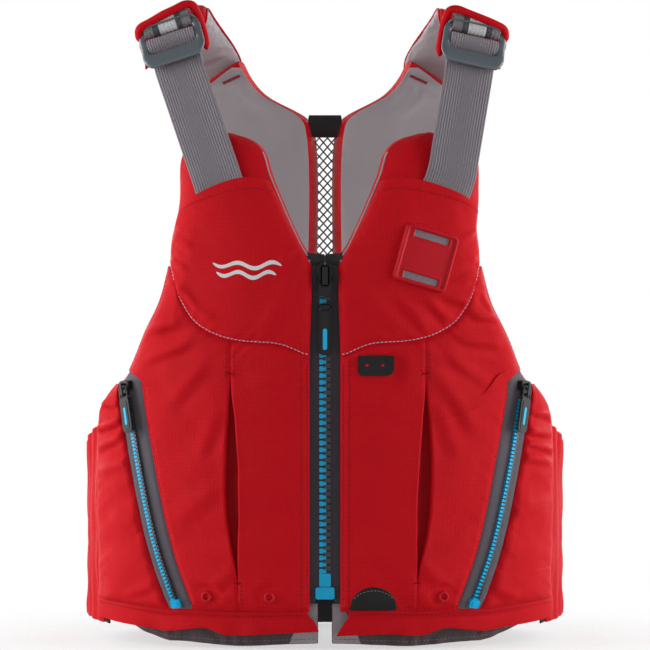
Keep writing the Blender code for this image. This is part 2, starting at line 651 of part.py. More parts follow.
def badges():
    """The lash tab, the rubber tab, the half-round patch and the drain eyelets."""
    lash_tab()

    def tab_corner(i, j, level):
        x, z = TAB_AT[0] + TAB_SIZE[0] * i / 2, TAB_AT[1] + TAB_SIZE[1] * j
        return front(1, x, z, front_puff(x, z) + TAB_D[level])
    plate("rubber_tab", 2, 1, tab_corner, "black_rubber")

    def half_round(i, j, level):
        x = PATCH_AT[0] + PATCH_WIDTH * i / 4
        rise = math.sqrt(1 - ((i - 2) / 2) ** 2)
        z = PATCH_AT[1] + (PATCH_HEIGHT[0] + PATCH_HEIGHT[1] * rise) * j
        return front(1, x, z, front_puff(x, z) + PATCH_D[level])
    plate("key_patch", 4, 1, half_round, "black_webbing")

    for tag, side, x in EYELETS:
        at = front(side, x, EYELET_Z, front_puff(x, EYELET_Z) + EYELET_D)
        axis = front(side, x, EYELET_Z, 20.0) - at
        tube_ring("drain_eyelet_" + tag, at, axis, *EYELET_RADII, EYELET_LENGTH, 12, "grey_plastic")


# ---- back and sides -----------------------------------------------------------------------------
def back_half(tag, side):
    """Lining, foam and shell of one back panel."""
    panel("back_lining_" + tag, back, side, BACK_HEIGHTS, BACK_NEAR, BACK_FAR, NARROW_STEPS,
          flat(LINING[0]), flat(LINING[1]), "grey_lining")
    panel("back_foam_" + tag, back, side, BACK_HEIGHTS, BACK_NEAR, BACK_FAR, NARROW_STEPS,
          flat(FOAM_INNER), on_puff(back_puff, FOAM_SKIN), "foam")
    panel("back_shell_" + tag, back, side, BACK_HEIGHTS, BACK_NEAR, BACK_FAR, NARROW_STEPS,
          on_puff(back_puff, SHELL[0]), on_puff(back_puff, SHELL[1]), "red_nylon")


def back_middle():
    """The mesh between and under the back panels, its neck binding and the waistband."""
    across = [-x for x in reversed(MESH_ACROSS)] + list(MESH_ACROSS)
    columns, rows = len(across) - 1, len(MESH_UP) - 1
    middle = columns // 2
    holes = [(i, j) for i in range(columns) for j in range(MESH_FULL_ROWS, rows) if i != middle]

    def mesh_corner(i, j, level):
        side = 1 if across[i] > 0 else -1
        return back(side, abs(across[i]), MESH_UP[j], MESH[level])
    plate("back_mesh", columns, rows, mesh_corner, "black_mesh", holes)

    def neck_corner(i, j, level):
        return back(1 if i else -1, MESH_ACROSS[0], NECK_Z[j], NECK_D[level])
    plate("neck_binding", 1, 1, neck_corner, "black_webbing")

    def waist_corner(i, j, level):
        angle = WAISTBAND_FROM + (360 - 2 * WAISTBAND_FROM) * i / WAISTBAND_CELLS
        return surface(angle, WAISTBAND_Z[j], WAISTBAND_D[level])
    plate("waistband", WAISTBAND_CELLS, 2, waist_corner, "black_webbing")


def side_parts(tag, side):
    """Stretch side panel, side strap and its adjuster buckle."""
    def place(angle, z, out_mm):
        p = surface(angle, z, out_mm)
        return Vector((side * p.x, p.y, p.z))

    def corner(i, j, level):
        angle = SIDE_PANEL_FROM + (SIDE_PANEL_TO - SIDE_PANEL_FROM) * i / SIDE_PANEL_CELLS
        return place(angle, SIDE_PANEL_Z[j], SIDE_PANEL_D[level])
    plate("side_panel_" + tag, SIDE_PANEL_CELLS, 3, corner, "red_nylon")

    def strap_corner(i, j, level):
        angle = SIDE_STRAP_FROM + (SIDE_STRAP_TO - SIDE_STRAP_FROM) * i / SIDE_STRAP_CELLS
        return place(angle, SIDE_STRAP_Z[j], SIDE_STRAP_D[level])
    plate("side_strap_" + tag, SIDE_STRAP_CELLS, 1, strap_corner, "black_webbing")

    def buckle_corner(i, j, level):
        return place(SIDE_BUCKLE_ANGLES[i], SIDE_BUCKLE_Z[j], SIDE_BUCKLE_D[level])
    plate("side_buckle_" + tag, 5, 3, buckle_corner, "black_plastic", holes=[(1, 1), (3, 1)])


# ---- shoulders ----------------------------------------------------------------------------------
def strap_foot(side):
    """Where the shoulder strap goes in under the yoke."""
    x, z = STRAP_FOOT[side]
    return front(side, x, z, front_puff(x, z) + 5.0)


def strap_frame(side):
    """The ladder-lock's placing matrix: x across the strap, y down it and z into the jacket."""
    x, y, z = BUCKLE_AT[side]
    at = Vector((side * x, y, z))
    down = (strap_foot(side) - at).normalized()
    level = Vector((1, side * math.tan(STRAP_YAW), 0))
    across = (level - down * level.dot(down)).normalized()
    turn = Matrix((across, down, across.cross(down))).transposed().to_4x4()
    return Matrix.Translation(at) @ turn


def shoulder(tag, side):
    """Shoulder pad, its webbing loop, ladder-lock and strap."""
    place = strap_frame(side)
    across = place.col[0].xyz
    foot = strap_foot(side)

    def spot(s_mm, n_mm, a=0.0):
        return place @ Vector((a, s_mm * MM, -n_mm * MM))

    x = BUCKLE_AT[side][0]
    lateral = Vector((side * math.cos(PAD_TILT), 0, -math.sin(PAD_TILT)))
    path = [Vector((side * (x - inward), y, z)) for inward, y, z in PAD_PATH]

    def pad_corner(i, j, level):
        ahead = path[min(j + 1, len(path) - 1)] - path[max(j - 1, 0)]
        normal = ahead.cross(lateral).normalized()
        if normal.z < 0:
            normal = -normal
        width = PAD_WIDTH * (PAD_END_SHARE if j in (0, len(path) - 1) else 1.0)
        crown = PAD_THICK * PAD_CROWN[i]
        return path[j] + lateral * width * (i - 1) / 2 + normal * crown * (1 if level else -1)
    plate("shoulder_pad_" + tag, 2, len(path) - 1, pad_corner, "red_nylon")

    loop_path = [Vector((side * x, y, z)) for y, z in LOOP_START]
    loop_path += [spot(s, n) for s, n in LOOP_PATH]
    band("shoulder_loop_" + tag, loop_path, across, WEBBING, WEB_THICK, "striped_webbing")
    strap_path = [foot] + [spot(s, n) for s, n in STRAP_PATH]
    band("shoulder_strap_" + tag, strap_path, across, WEBBING, WEB_THICK, "grey_webbing")

    def lock_corner(i, j, level):
        n = LOCK_THICK / 2 * (1 if level else -1) + (LOCK_LIP if j == len(LOCK_S) - 1 else 0.0)
        return spot(LOCK_S[j], n, LOCK_A[i])
    plate("ladder_lock_" + tag, 3, 5, lock_corner, "grey_plastic", holes=[(1, 1), (1, 3)])


# ---- how it moves -------------------------------------------------------------------------------
FRONT_PIECES = (
    "front_lining_", "front_foam_", "front_shell_", "hem_facing_", "chest_yoke_", "pocket_front_",
    "pocket_side_", "pocket_zip_tape_", "pocket_zip_teeth_", "centre_zip_tape_",
    "centre_zip_teeth_", "shoulder_strap_")


def carry(piece, empty):
    """Hang a piece on an empty that stands unturned."""
    found = bpy.data.objects[piece]
    found.parent = empty
    found.matrix_parent_inverse = Matrix.Translation(-empty.location)


def pivot(name, at, children, parent=None):
    """An empty on a joint's axis, which carries the pieces that turn or slide there."""
    empty = bpy.data.objects.new(name, None)
    empty.empty_display_size = 0.02
    bpy.context.scene.collection.objects.link(empty)
    empty.location = at
    if parent:
        carry(name, parent)
    for child in children:
        carry(child, empty)
    return empty


def front_hinge(side):
    """Two points on the line that a front half swings about."""
    return front(side, SEAM_X, SEAM_TOP, 0.0), strap_frame(side) @ Vector((0, LOCK_BAR_S * MM, 0))


def pocket_travel(side):
    """Start, middle and end of the pocket slider's travel."""
    heights = (POCKET_SLIDER_Z, (POCKET_SLIDER_Z + POCKET_SLIDER_LOW_Z) / 2, POCKET_SLIDER_LOW_Z)
    return [pocket_zip_point(side, z, 4.5) for z in heights]


def puller_pin(side):
    """Where a pocket puller hangs in its slider's lug."""
    out = sum(PULLER_OFF) / 2
    up = sum(PULLER_Z[2:]) / 2
    return pocket_slider_frame(side) @ Vector((0, POCKET_SLIDER_FACE + out, up))


def add_pivots():
    """One empty on each joint's axis."""
    hinges = {}
    for tag, side in SIDES.items():
        hinges[tag] = pivot("pivot_front_" + tag, front_hinge(side)[0],
                            [piece + tag for piece in FRONT_PIECES])
        pivot("pivot_lock_" + tag, strap_frame(side) @ Vector((0, LOCK_TOP_S * MM, 0)),
              ["ladder_lock_" + tag])
        travel = pivot("pivot_pocket_slider_" + tag, circle_centre(*pocket_travel(side)),
                       ["pocket_slider_" + tag], hinges[tag])
        pivot("pivot_pocket_puller_" + tag, puller_pin(side), ["pocket_puller_" + tag], travel)
    for piece in ("lash_tab", "rubber_tab", "key_patch", "drain_eyelet_left", "zip_pin"):
        carry(piece, hinges["left"])
    for piece in ("zip_retainer_box", "drain_eyelet_right_outer", "drain_eyelet_right_inner"):
        carry(piece, hinges["right"])
    slider = pivot("path_main_slider", (0, front_y(0), BAR_Z), ["main_slider"], hinges["right"])
    link = pivot("pivot_main_puller", (0, front_y(BAR_D), BAR_Z), ["main_puller"], slider)
    pivot("pivot_pull_tab", (0, front_y(BAR_D), BAR_Z - LINK_DROP), ["main_pull_tab"], link)


def build():
    """Every piece of the jacket."""
    for old in list(bpy.data.objects):
        bpy.data.objects.remove(old, do_unlink=True)
    for tag, side in SIDES.items():
        front_half(tag, side)
        chest_yoke(tag, side)
        pocket(tag, side)
        pocket_zip(tag, side)
        pocket_slider(tag, side)
        centre_zip(tag, side)
        back_half(tag, side)
        side_parts(tag, side)
        shoulder(tag, side)
    centre_fittings()
    badges()
    back_middle()
    add_pivots()


build()
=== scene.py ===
"""Looks of the front-zip paddling life jacket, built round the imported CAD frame.

Metres, +X the wearer's left, -Y the front, +Z up. Every skin is placed, as in the CAD, by how many
millimetres it lies outside one reference surface. A panel is a dense grid between four edge curves,
given as (distance off the middle, height); cloth simulation, folds, seams and stitches are laid
over that grid.
"""
import math

import bmesh
import bpy
import numpy as np
from mathutils import Matrix, Vector


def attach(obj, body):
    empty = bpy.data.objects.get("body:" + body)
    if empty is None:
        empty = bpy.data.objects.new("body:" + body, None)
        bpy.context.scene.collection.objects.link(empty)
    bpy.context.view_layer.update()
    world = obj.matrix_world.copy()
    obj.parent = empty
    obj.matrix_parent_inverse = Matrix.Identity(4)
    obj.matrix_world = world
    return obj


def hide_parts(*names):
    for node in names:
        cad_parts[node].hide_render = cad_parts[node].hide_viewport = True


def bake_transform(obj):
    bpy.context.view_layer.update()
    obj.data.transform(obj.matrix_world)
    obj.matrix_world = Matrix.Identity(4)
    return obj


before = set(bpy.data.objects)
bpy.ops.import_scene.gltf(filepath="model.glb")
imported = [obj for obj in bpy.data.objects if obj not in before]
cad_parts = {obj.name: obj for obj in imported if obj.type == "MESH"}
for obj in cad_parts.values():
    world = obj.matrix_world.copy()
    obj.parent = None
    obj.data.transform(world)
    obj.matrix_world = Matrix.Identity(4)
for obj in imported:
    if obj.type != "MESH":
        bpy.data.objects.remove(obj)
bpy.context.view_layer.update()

MM = 0.001
SIDES = {"left": 1, "right": -1}

# ---- the reference surface, as in the CAD --------------------------------------------------------
HALF_WIDTH, HALF_DEPTH, DEPTH_SHIFT, ROUNDNESS = 0.1955, 0.1360, 0.0032, 2.3
CHEST_START, CHEST_CURVE = 0.300, 3.4
BACK_START, BACK_CURVE = 0.330, 2.0
HEM_RISE, HEM_RISE_FROM, HEM_RISE_TOP = 0.0150, 0.130, 0.060
EDGE_TAPER, EDGE_DROP, CENTRE_DROP = 0.022, 9.0, 3.0
SEAM_SHARE = 0.25            # of that drop, at the side seam, which the side panel holds out
FRONT_TOP, FRONT_FOOT, BACK_TOP, BACK_FOOT = 0.4120, 0.0200, 0.4800, 0.1850
ZIP_EDGE, ZIP_FOOT, ZIP_HEAD = 0.0118, 0.0360, 0.3027
SEAM_X = 0.1830
CHEST_WIDER = 0.0075         # how much wider the left chest stands near its top
COVER_EASE = 0.0055          # how far the rounded side of a cover keeps off the centre zip
HEM_SEAM = 0.0286            # where the red hem band starts, below the pockets

# ---- layers, millimetres outside the reference surface -------------------------------------------
LINING = -28.9
SHELL = 0.7
OVERLAY = 4.2
SEWN = 1.7                   # an overlay's own edge, sewn down on the shell
CENTRE_TAPE = -6.0
CENTRE_CHAIN = (-7.0, -4.0)

# ---- fittings, as in the CAD ---------------------------------------------------------------------
BOX_Z, BOX_D, BOX_HALF = (0.0380, 0.0475), (-8.5, -3.2), 0.0075
PIN_TOP = 0.0583
SLIDER_Z = (0.2760, 0.3020)
BAR_Z, BAR_D, LINK_DROP, PULL_TAB_FOOT = 0.28975, 0.15, 0.0225, 0.2297
POCKET_CURVE = [(0.1144, 0.0286), (0.1308, 0.0757), (0.1430, 0.1300), (0.1556, 0.2055)]
POCKET_INSET, POCKET_FRONT_INSET, POCKET_SLIDER_Z, POCKET_SLIDER_FACE = 0.0084, 0.0120, 0.2020, 0.0062
LASH_AT, LASH_SIZE, LASH_TURN = (0.0780, 0.3060), (0.0450, 0.0470), math.radians(-16)
LASH_SLOT, LASH_SLOTS, LASH_CORNER = (0.0286, 0.0056), (0.0168, -0.0168), 0.0052
TAB_AT, TAB_HALF = (0.0395, 0.2210), 0.0142
PATCH_X, PATCH_FOOT, PATCH_WIDE, PATCH_TALL = 0.0196, 0.0298, 0.0360, 0.0160
EYELETS = {"left": (1, 0.0916), "right_outer": (-1, 0.0916), "right_inner": (-1, 0.0430)}
EYELET_Z = 0.0400
WEBBING, WEB_THICK = 0.0380, 0.0016
BUCKLE_AT = {-1: (0.1225, -0.0665, 0.4790), 1: (0.1190, -0.0672, 0.4762)}
STRAP_FOOT = {-1: (0.0920, 0.3710), 1: (0.1015, 0.3710)}
STRAP_ENDS = {-1: (0.0850, 0.3710), 1: (0.0933, 0.3710)}     # where the straps go in under the yoke
STRAP_YAW, PAD_TILT = math.radians(13), math.radians(22)
PAD_WIDTH, PAD_THICK = 0.0600, 0.0140
PAD_PATH = [
    (0.0, -0.0570, 0.4680), (0.0, -0.0500, 0.4840), (0.0, -0.0400, 0.4945), (0.0, -0.0240, 0.4995),
    (0.001, 0.0020, 0.5005), (0.004, 0.0360, 0.4965), (0.011, 0.0640, 0.4875),
    (0.019, 0.0800, 0.4765), (0.0245, 0.0860, 0.4660), (0.0285, 0.0890, 0.4540), (0.0310, 0.0910, 0.4430)]

# ---- edges of the panels, (height, distance off the middle) --------------------------------------
FRONT_NEAR = [
    (0.0300, ZIP_EDGE), (ZIP_HEAD, ZIP_EDGE), (0.3176, 0.0197), (0.3710, 0.0435),
    (0.3910, 0.0500), (0.4000, 0.0590), (0.4060, 0.0740)]
FRONT_FAR = [
    (0.0300, SEAM_X), (0.1820, SEAM_X), (0.1930, 0.1770), (0.2175, 0.1610), (0.2490, 0.1470),
    (0.2730, 0.1345), (0.3030, 0.1255), (0.3205, 0.1240), (0.3520, 0.1185), (0.3850, 0.1175),
    (0.3960, 0.1120), (0.4060, 0.0900)]
BACK_NEAR = [
    (0.1900, 0.0092), (0.4200, 0.0092), (0.4290, 0.0150), (0.4480, 0.0500), (0.4610, 0.0620),
    (0.4740, 0.0690)]
BACK_FAR = [
    (0.1900, 0.1500), (0.2500, 0.1320), (0.3000, 0.1200), (0.3600, 0.1150), (0.4200, 0.1210),
    (0.4400, 0.1250), (0.4600, 0.1000), (0.4740, 0.0780)]


# ---- numbers and curves --------------------------------------------------------------------------
def surface(angle, z, out):
    """Points out millimetres outside the reference surface, angle degrees round from the front."""
    angle, z, out = np.broadcast_arrays(np.asarray(angle, float), z, out)
    s, c = np.sin(np.radians(angle)), np.cos(np.radians(angle))
    chest = HALF_DEPTH - CHEST_CURVE * np.maximum(0, z - CHEST_START) ** 2
    rear = HALF_DEPTH - BACK_CURVE * np.maximum(0, z - BACK_START) ** 2
    depth = np.where(c > 0, chest, rear)
    x = HALF_WIDTH * np.sign(s) * np.abs(s) ** (2 / ROUNDNESS)
    y = -depth * np.sign(c) * np.abs(c) ** (2 / ROUNDNESS)
    nx = np.sign(x) * np.abs(x / HALF_WIDTH) ** (ROUNDNESS - 1) / HALF_WIDTH
    ny = np.sign(y) * np.abs(y / depth) ** (ROUNDNESS - 1) / depth
    size = np.hypot(nx, ny)
    rise = HEM_RISE * np.maximum(0, np.abs(x) - HEM_RISE_FROM) / (HALF_WIDTH - HEM_RISE_FROM)
    rise = rise * np.maximum(0, 1 - z / HEM_RISE_TOP)
    return np.stack([x + nx / size * out * MM, y + DEPTH_SHIFT + ny / size * out * MM, z + rise], -1)


def angle_at(x):
    """Degrees round from the middle of the front to distance x off it."""
    return np.degrees(np.arcsin(np.minimum(1, np.abs(x) / HALF_WIDTH) ** (ROUNDNESS / 2)))


def plain_front(side, x, z, out):
    """Points on the CAD's front, x off the middle, on one side."""
    return surface(angle_at(x), z, out) * (side, 1, 1)


def front(side, x, z, out):
    """Points on the front as it lies, the left chest a little wider than the right."""
    wider = (side > 0) * CHEST_WIDER * step((z - 0.322) / 0.035) * step((np.abs(x) - 0.060) / 0.050)
    return plain_front(side, np.abs(x) + wider, z, out)


def back(side, x, z, out):
    """Points on the back, x off the middle, on one side."""
    return surface(180 - angle_at(x), z, out) * (side, 1, 1)


def whole_back(x, z, out, least=1e-5):
    """Points on the back, x to either side of the middle but at least so far off it."""
    side = np.stack([np.where(x < 0, -1.0, 1.0), np.ones_like(x), np.ones_like(x)], -1)
    return surface(180 - angle_at(np.maximum(np.abs(x), least)), z, out) * side


def rounded(points, steps=10):
    """Points along a smooth curve through the given ones: a centripetal Catmull-Rom spline."""
    p = np.array(points, float)
    p = np.vstack([2 * p[0] - p[1], p, 2 * p[-1] - p[-2]])
    found = []
    share = np.linspace(0, 1, steps, endpoint=False)[:, None]
    for a, b, c, d in zip(p, p[1:], p[2:], p[3:]):
        t1 = math.sqrt(np.linalg.norm(b - a))
        t2 = t1 + math.sqrt(np.linalg.norm(c - b))
        t3 = t2 + math.sqrt(np.linalg.norm(d - c))
        t = t1 + (t2 - t1) * share
        ab = a + (b - a) * t / t1
        bc = b + (c - b) * (t - t1) / (t2 - t1)
        cd = c + (d - c) * (t - t2) / (t3 - t2)
        abc = ab + (bc - ab) * t / t2
        bcd = bc + (cd - bc) * (t - t1) / (t3 - t1)
        found.append(abc + (bcd - abc) * (t - t1) / (t2 - t1))
    return np.vstack(found + [p[-2:-1]])


def through(points, smooth=True):
    """A curve through points as a function of 0 to 1, at an even pace."""
    p = rounded(points) if smooth and len(points) > 2 else np.array(points, float)
    gaps = np.linalg.norm(np.diff(p, axis=0), axis=1)
    along = np.concatenate([[0], np.cumsum(gaps)]) / gaps.sum()

    def at(t):
        t = np.asarray(t, float)
        return np.stack([np.interp(t, along, p[:, k]) for k in range(p.shape[1])], -1)
    return at


def distances(points):
    """How far along a line each of its points lies."""
    return np.concatenate([[0], np.cumsum(np.linalg.norm(np.diff(points, axis=0), axis=1))])


def edge(points):
    """Distance off the middle as a smooth function of height."""
    p = rounded(points)
    return lambda z: np.interp(z, p[:, 0], p[:, 1])


def step(value):
    """0 below 0, 1 above 1, and a smooth slope between."""
    t = np.clip(value, 0, 1)
    return t * t * (3 - 2 * t)


def cubic(field, u, v):
    """A grid of values read smoothly at u, v from 0 to 1."""
    nu, nv = field.shape[:2]

    def weights(t):
        t2, t3 = t * t, t * t * t
        return (-t3 + 2 * t2 - t) / 2, (3 * t3 - 5 * t2 + 2) / 2, (-3 * t3 + 4 * t2 + t) / 2, (t3 - t2) / 2
    a, b = np.clip(u, 0, 1) * (nu - 1), np.clip(v, 0, 1) * (nv - 1)
    i, j = np.minimum(a.astype(int), nu - 2), np.minimum(b.astype(int), nv - 2)
    total = 0
    for p, wp in enumerate(weights(a - i)):
        for q, wq in enumerate(weights(b - j)):
            value = field[np.clip(i + p - 1, 0, nu - 1), np.clip(j + q - 1, 0, nv - 1)]
            share = wp * wq
            total = total + value * (share[..., None] if value.ndim > share.ndim else share)
    return total


NOISE = np.random.default_rng(7).uniform(-1, 1, (97, 97))


def noise(a, b, size, seed=0):
    """Smooth noise from -1 to 1 over the plane of a and b, with lumps about size wide."""
    u = np.mod(a / size / 96 + 0.137 * seed + 10, 1)
    v = np.mod(b / size / 96 + 0.271 * seed + 10, 1)
    return cubic(NOISE, u, v)


NEAR_EDGE, FAR_EDGE = edge(FRONT_NEAR), edge(FRONT_FAR)
BACK_NEAR_EDGE, BACK_FAR_EDGE = edge(BACK_NEAR), edge(BACK_FAR)


def fall(distance):
    """0 well inside a panel, rising to 1 at its edge."""
    return (1 - np.clip(distance / EDGE_TAPER, 0, 1)) ** 2


def front_puff(x, z):
    """How far the foam's face drops under the reference surface near the front's edges."""
    seam = fall(FAR_EDGE(z) - x) * (SEAM_SHARE + (1 - SEAM_SHARE) * step((z - 0.188) / 0.030))
    foot = fall(z - FRONT_FOOT) * (1 - (1 - SEAM_SHARE) * step((x - 0.135) / 0.040))
    rim = np.maximum(seam, np.maximum(foot, fall(FRONT_TOP - z)))
    drop = CENTRE_DROP + (EDGE_DROP - CENTRE_DROP) * np.clip((z - ZIP_HEAD) / 0.030, 0, 1)
    return -np.maximum(EDGE_DROP * rim, drop * fall(x - NEAR_EDGE(z)))


def back_puff(x, z):
    """The same for the back panels."""
    inside = np.minimum(BACK_FAR_EDGE(z) - x, x - BACK_NEAR_EDGE(z) + 0.004)
    return -EDGE_DROP * fall(np.minimum(inside, np.minimum(BACK_TOP - z, z - BACK_FOOT)))


GIRTH_RING = surface(np.linspace(0, 90, 300), 0.2, 0.0)
GIRTH = distances(GIRTH_RING)


def girth(x):
    """Distance round the jacket from its middle to distance x off the middle."""
    return np.interp(x, GIRTH_RING[:, 0], GIRTH)


class Patch:
    """A four-sided panel between edge curves of (distance off the middle, height) points. bottom
    and top run away from the middle, near and far run up."""

    def __init__(self, bottom, top, near, far):
        self.edges = [through(points) for points in (bottom, top, near, far)]

    def at(self, u, v):
        """Distance off the middle and height at u, v."""
        u, v = np.broadcast_arrays(u, v)
        bottom, top, near, far = self.edges
        a, b = u[..., None], v[..., None]
        ends = ((1 - a) * (1 - b) * bottom(0) + a * (1 - b) * bottom(1)
                + (1 - a) * b * top(0) + a * b * top(1))
        p = (1 - b) * bottom(u) + b * top(u) + (1 - a) * near(v) + a * far(v) - ends
        return p[..., 0], p[..., 1]


def unit_grid(nu, nv):
    """u and v from 0 to 1 over a grid."""
    return np.meshgrid(np.linspace(0, 1, nu), np.linspace(0, 1, nv), indexing="ij")


# ---- materials -----------------------------------------------------------------------------------
class Finish:
    """One procedural material, with short calls for its nodes."""

    def __init__(self, name, colour, roughness, **constants):
        self.material = bpy.data.materials.new(name)
        self.material.use_nodes = True
        self.tree = self.material.node_tree
        self.shader = self.tree.nodes["Principled BSDF"]
        self.colour = colour
        self.shader.inputs["Base Color"].default_value = (*colour, 1)
        self.shader.inputs["Roughness"].default_value = roughness
        for socket, value in constants.items():
            self.shader.inputs[socket.replace("_", " ")].default_value = value

    def node(self, kind, **settings):
        made = self.tree.nodes.new("ShaderNode" + kind)
        for key, value in settings.items():
            setattr(made, key, value)
        return made

    def feed(self, socket, value):
        if hasattr(value, "links"):
            self.tree.links.new(value, socket)
        else:
            socket.default_value = value

    def math(self, operation, a, b=0.0, c=0.0, clamp=False):
        made = self.node("Math", operation=operation, use_clamp=clamp)
        for socket, value in zip(made.inputs, (a, b, c)):
            self.feed(socket, value)
        return made.outputs[0]

    def uv(self):
        """Across and along the cloth, in metres."""
        split = self.node("SeparateXYZ")
        self.feed(split.inputs[0], self.node("UVMap", uv_map="cloth").outputs[0])
        return split.outputs[0], split.outputs[1]

    def place(self):
        return self.node("TexCoord").outputs["Object"]

    def noise(self, scale, detail=2.0, stretch=(1, 1, 1)):
        """Noise over the object from 0 to 1."""
        mapping = self.node("Mapping")
        self.feed(mapping.inputs["Vector"], self.place())
        mapping.inputs["Scale"].default_value = stretch
        made = self.node("TexNoise")
        self.feed(made.inputs["Vector"], mapping.outputs[0])
        made.inputs["Scale"].default_value = scale
        made.inputs["Detail"].default_value = detail
        return made.outputs[0]

    def wave(self, value, pitch, phase=0.0):
        """-1 to 1, one wave for each pitch."""
        return self.math("SINE", self.math("MULTIPLY_ADD", value, 2 * math.pi / pitch, phase))

    def lines(self, value, pitch, width):
        """1 on thin lines pitch apart, else 0."""
        off = self.math("PINGPONG", value, pitch / 2)
        return self.math("SUBTRACT", 1.0, self.math("DIVIDE", off, width), clamp=True)

    def ramp(self, value, *stops):
        """A colour ramp from (position, colour) stops."""
        made = self.node("ValToRGB")
        ramp = made.color_ramp
        while len(ramp.elements) < len(stops):
            ramp.elements.new(1.0)
        for element, (position, colour) in zip(ramp.elements, stops):
            element.position = position
            element.color = (*colour, 1)
        self.feed(made.inputs[0], value)
        return made.outputs[0]

    def tint(self, share, other):
        """Mix the colour so far with another by share."""
        made = self.node("Mix", data_type="RGBA")
        self.feed(made.inputs[0], share)
        socket = self.shader.inputs["Base Color"]
        if socket.is_linked:
            self.feed(made.inputs[6], socket.links[0].from_socket)
        else:
            made.inputs[6].default_value = socket.default_value
        made.inputs[7].default_value = (*other, 1)
        self.feed(socket, made.outputs[2])
        return self

    def rough(self, value, low, high):
        """Roughness between low and high by value."""
        made = self.node("MapRange")
        self.feed(made.inputs[0], value)
        made.inputs[3].default_value = low
        made.inputs[4].default_value = high
        self.feed(self.shader.inputs["Roughness"], made.outputs[0])
        return self

    def bump(self, height, depth):
        """Relief of height, which is about -1 to 1, times depth in millimetres."""
        made = self.node("Bump")
        made.inputs["Strength"].default_value = 1.0
        made.inputs["Distance"].default_value = depth * MM
        self.feed(made.inputs["Height"], height)
        socket = self.shader.inputs["Normal"]
        if socket.is_linked:
            self.feed(made.inputs["Normal"], socket.links[0].from_socket)
        self.feed(socket, made.outputs[0])
        return self


def dark(colour, share):
    """A colour times share."""
    return tuple(c * share for c in colour)


def nylon(name, colour, roughness, thread=0.55, ripstop=3.2, sheen=0.03):
    """Coated woven nylon with faint ripstop lines, slightly uneven in colour."""
    made = Finish(name, colour, roughness, Sheen_Weight=sheen, Sheen_Roughness=0.45,
                  Specular_IOR_Level=0.07)
    made.shader.inputs["Sheen Tint"].default_value = (1.0, 0.50, 0.50, 1)
    u, v = made.uv()
    weave = made.math("MULTIPLY", made.wave(u, thread * MM), made.wave(v, thread * MM))
    grid = made.math("MAXIMUM", made.lines(u, ripstop * MM, 0.30 * MM),
                     made.lines(v, ripstop * MM, 0.26 * MM))
    patchy = made.noise(14.0, 3.0)
    made.tint(made.math("MULTIPLY", grid, 0.30), dark(colour, 0.45))
    made.tint(made.math("MULTIPLY", patchy, 0.22), dark(colour, 0.72))
    made.rough(patchy, roughness - 0.06, roughness + 0.08)
    made.bump(weave, 0.05).bump(grid, 0.07)
    made.bump(made.noise(230.0, 2.0), 0.10)
    return made.material


def satin(name, colour, roughness):
    """Smooth lining cloth with a soft shine and fine crosswise threads."""
    made = Finish(name, colour, roughness, Sheen_Weight=0.25, Sheen_Roughness=0.35,
                  Specular_IOR_Level=0.45)
    u, v = made.uv()
    weave = made.math("MULTIPLY", made.wave(u, 0.5 * MM), made.wave(v, 0.7 * MM))
    patchy = made.noise(9.0, 3.0)
    made.tint(made.math("MULTIPLY", patchy, 0.25), dark(colour, 0.72))
    made.rough(patchy, roughness - 0.05, roughness + 0.06)
    made.bump(weave, 0.04).bump(made.noise(60.0, 3.0), 0.25)
    return made.material


def webbing(name, colour, light, roughness, ribs=2.0, stripes=None):
    """Woven strap: threads crossing its ribs, a painted highlight in the colour light where rib and weft
    crests meet, dark flecks, and stripes across if given.
    """
    made = Finish(name, colour, roughness, Sheen_Weight=0.20, Sheen_Roughness=0.4,
                  Specular_IOR_Level=0.4)
    u, v = made.uv()
    if stripes:
        bands = made.ramp(made.math("DIVIDE", u, WEBBING), *stripes)
        made.tree.nodes[-1].color_ramp.interpolation = "CONSTANT"
        made.feed(made.shader.inputs["Base Color"], bands)
    rib = made.wave(u, ribs * MM, math.pi / 2)
    weft = made.wave(made.math("ADD", v, made.math("MULTIPLY", rib, 0.25 * MM)), 0.95 * MM)
    speck = made.noise(900.0, 1.0)
    # Painted highlight: the colour light where the rib and weft crests meet.
    made.tint(made.math("MULTIPLY", made.math("MULTIPLY", rib, weft), 0.35, clamp=True), light)
    made.tint(made.math("MULTIPLY", made.math("SUBTRACT", speck, 0.45), 1.2, clamp=True), dark(colour, 0.5))
    made.bump(weft, 0.10).bump(rib, 0.10)
    return made.material


def moulded(name, colour, roughness, grain=0.03, coat=0.0, shine=0.5):
    """Injection-moulded plastic or rubber with a fine grain."""
    made = Finish(name, colour, roughness, Coat_Weight=coat, Coat_Roughness=0.25, Specular_IOR_Level=shine)
    patchy = made.noise(60.0, 3.0)
    made.tint(made.math("MULTIPLY", patchy, 0.30), dark(colour, 0.75))
    made.rough(patchy, roughness - 0.07, roughness + 0.10)
    made.bump(made.noise(1400.0, 2.0), grain)
    return made.material


def tape(name, colour):
    """Zip tape: fine chevron twill."""
    made = Finish(name, colour, 0.85, Sheen_Weight=0.25, Sheen_Roughness=0.5)
    u, v = made.uv()
    chevron = made.wave(made.math("ADD", v, made.math("PINGPONG", u, 2.0 * MM)), 0.9 * MM)
    made.tint(made.math("MULTIPLY", chevron, 0.35, clamp=True), dark(colour, 1.7))
    made.bump(chevron, 0.10)
    return made.material


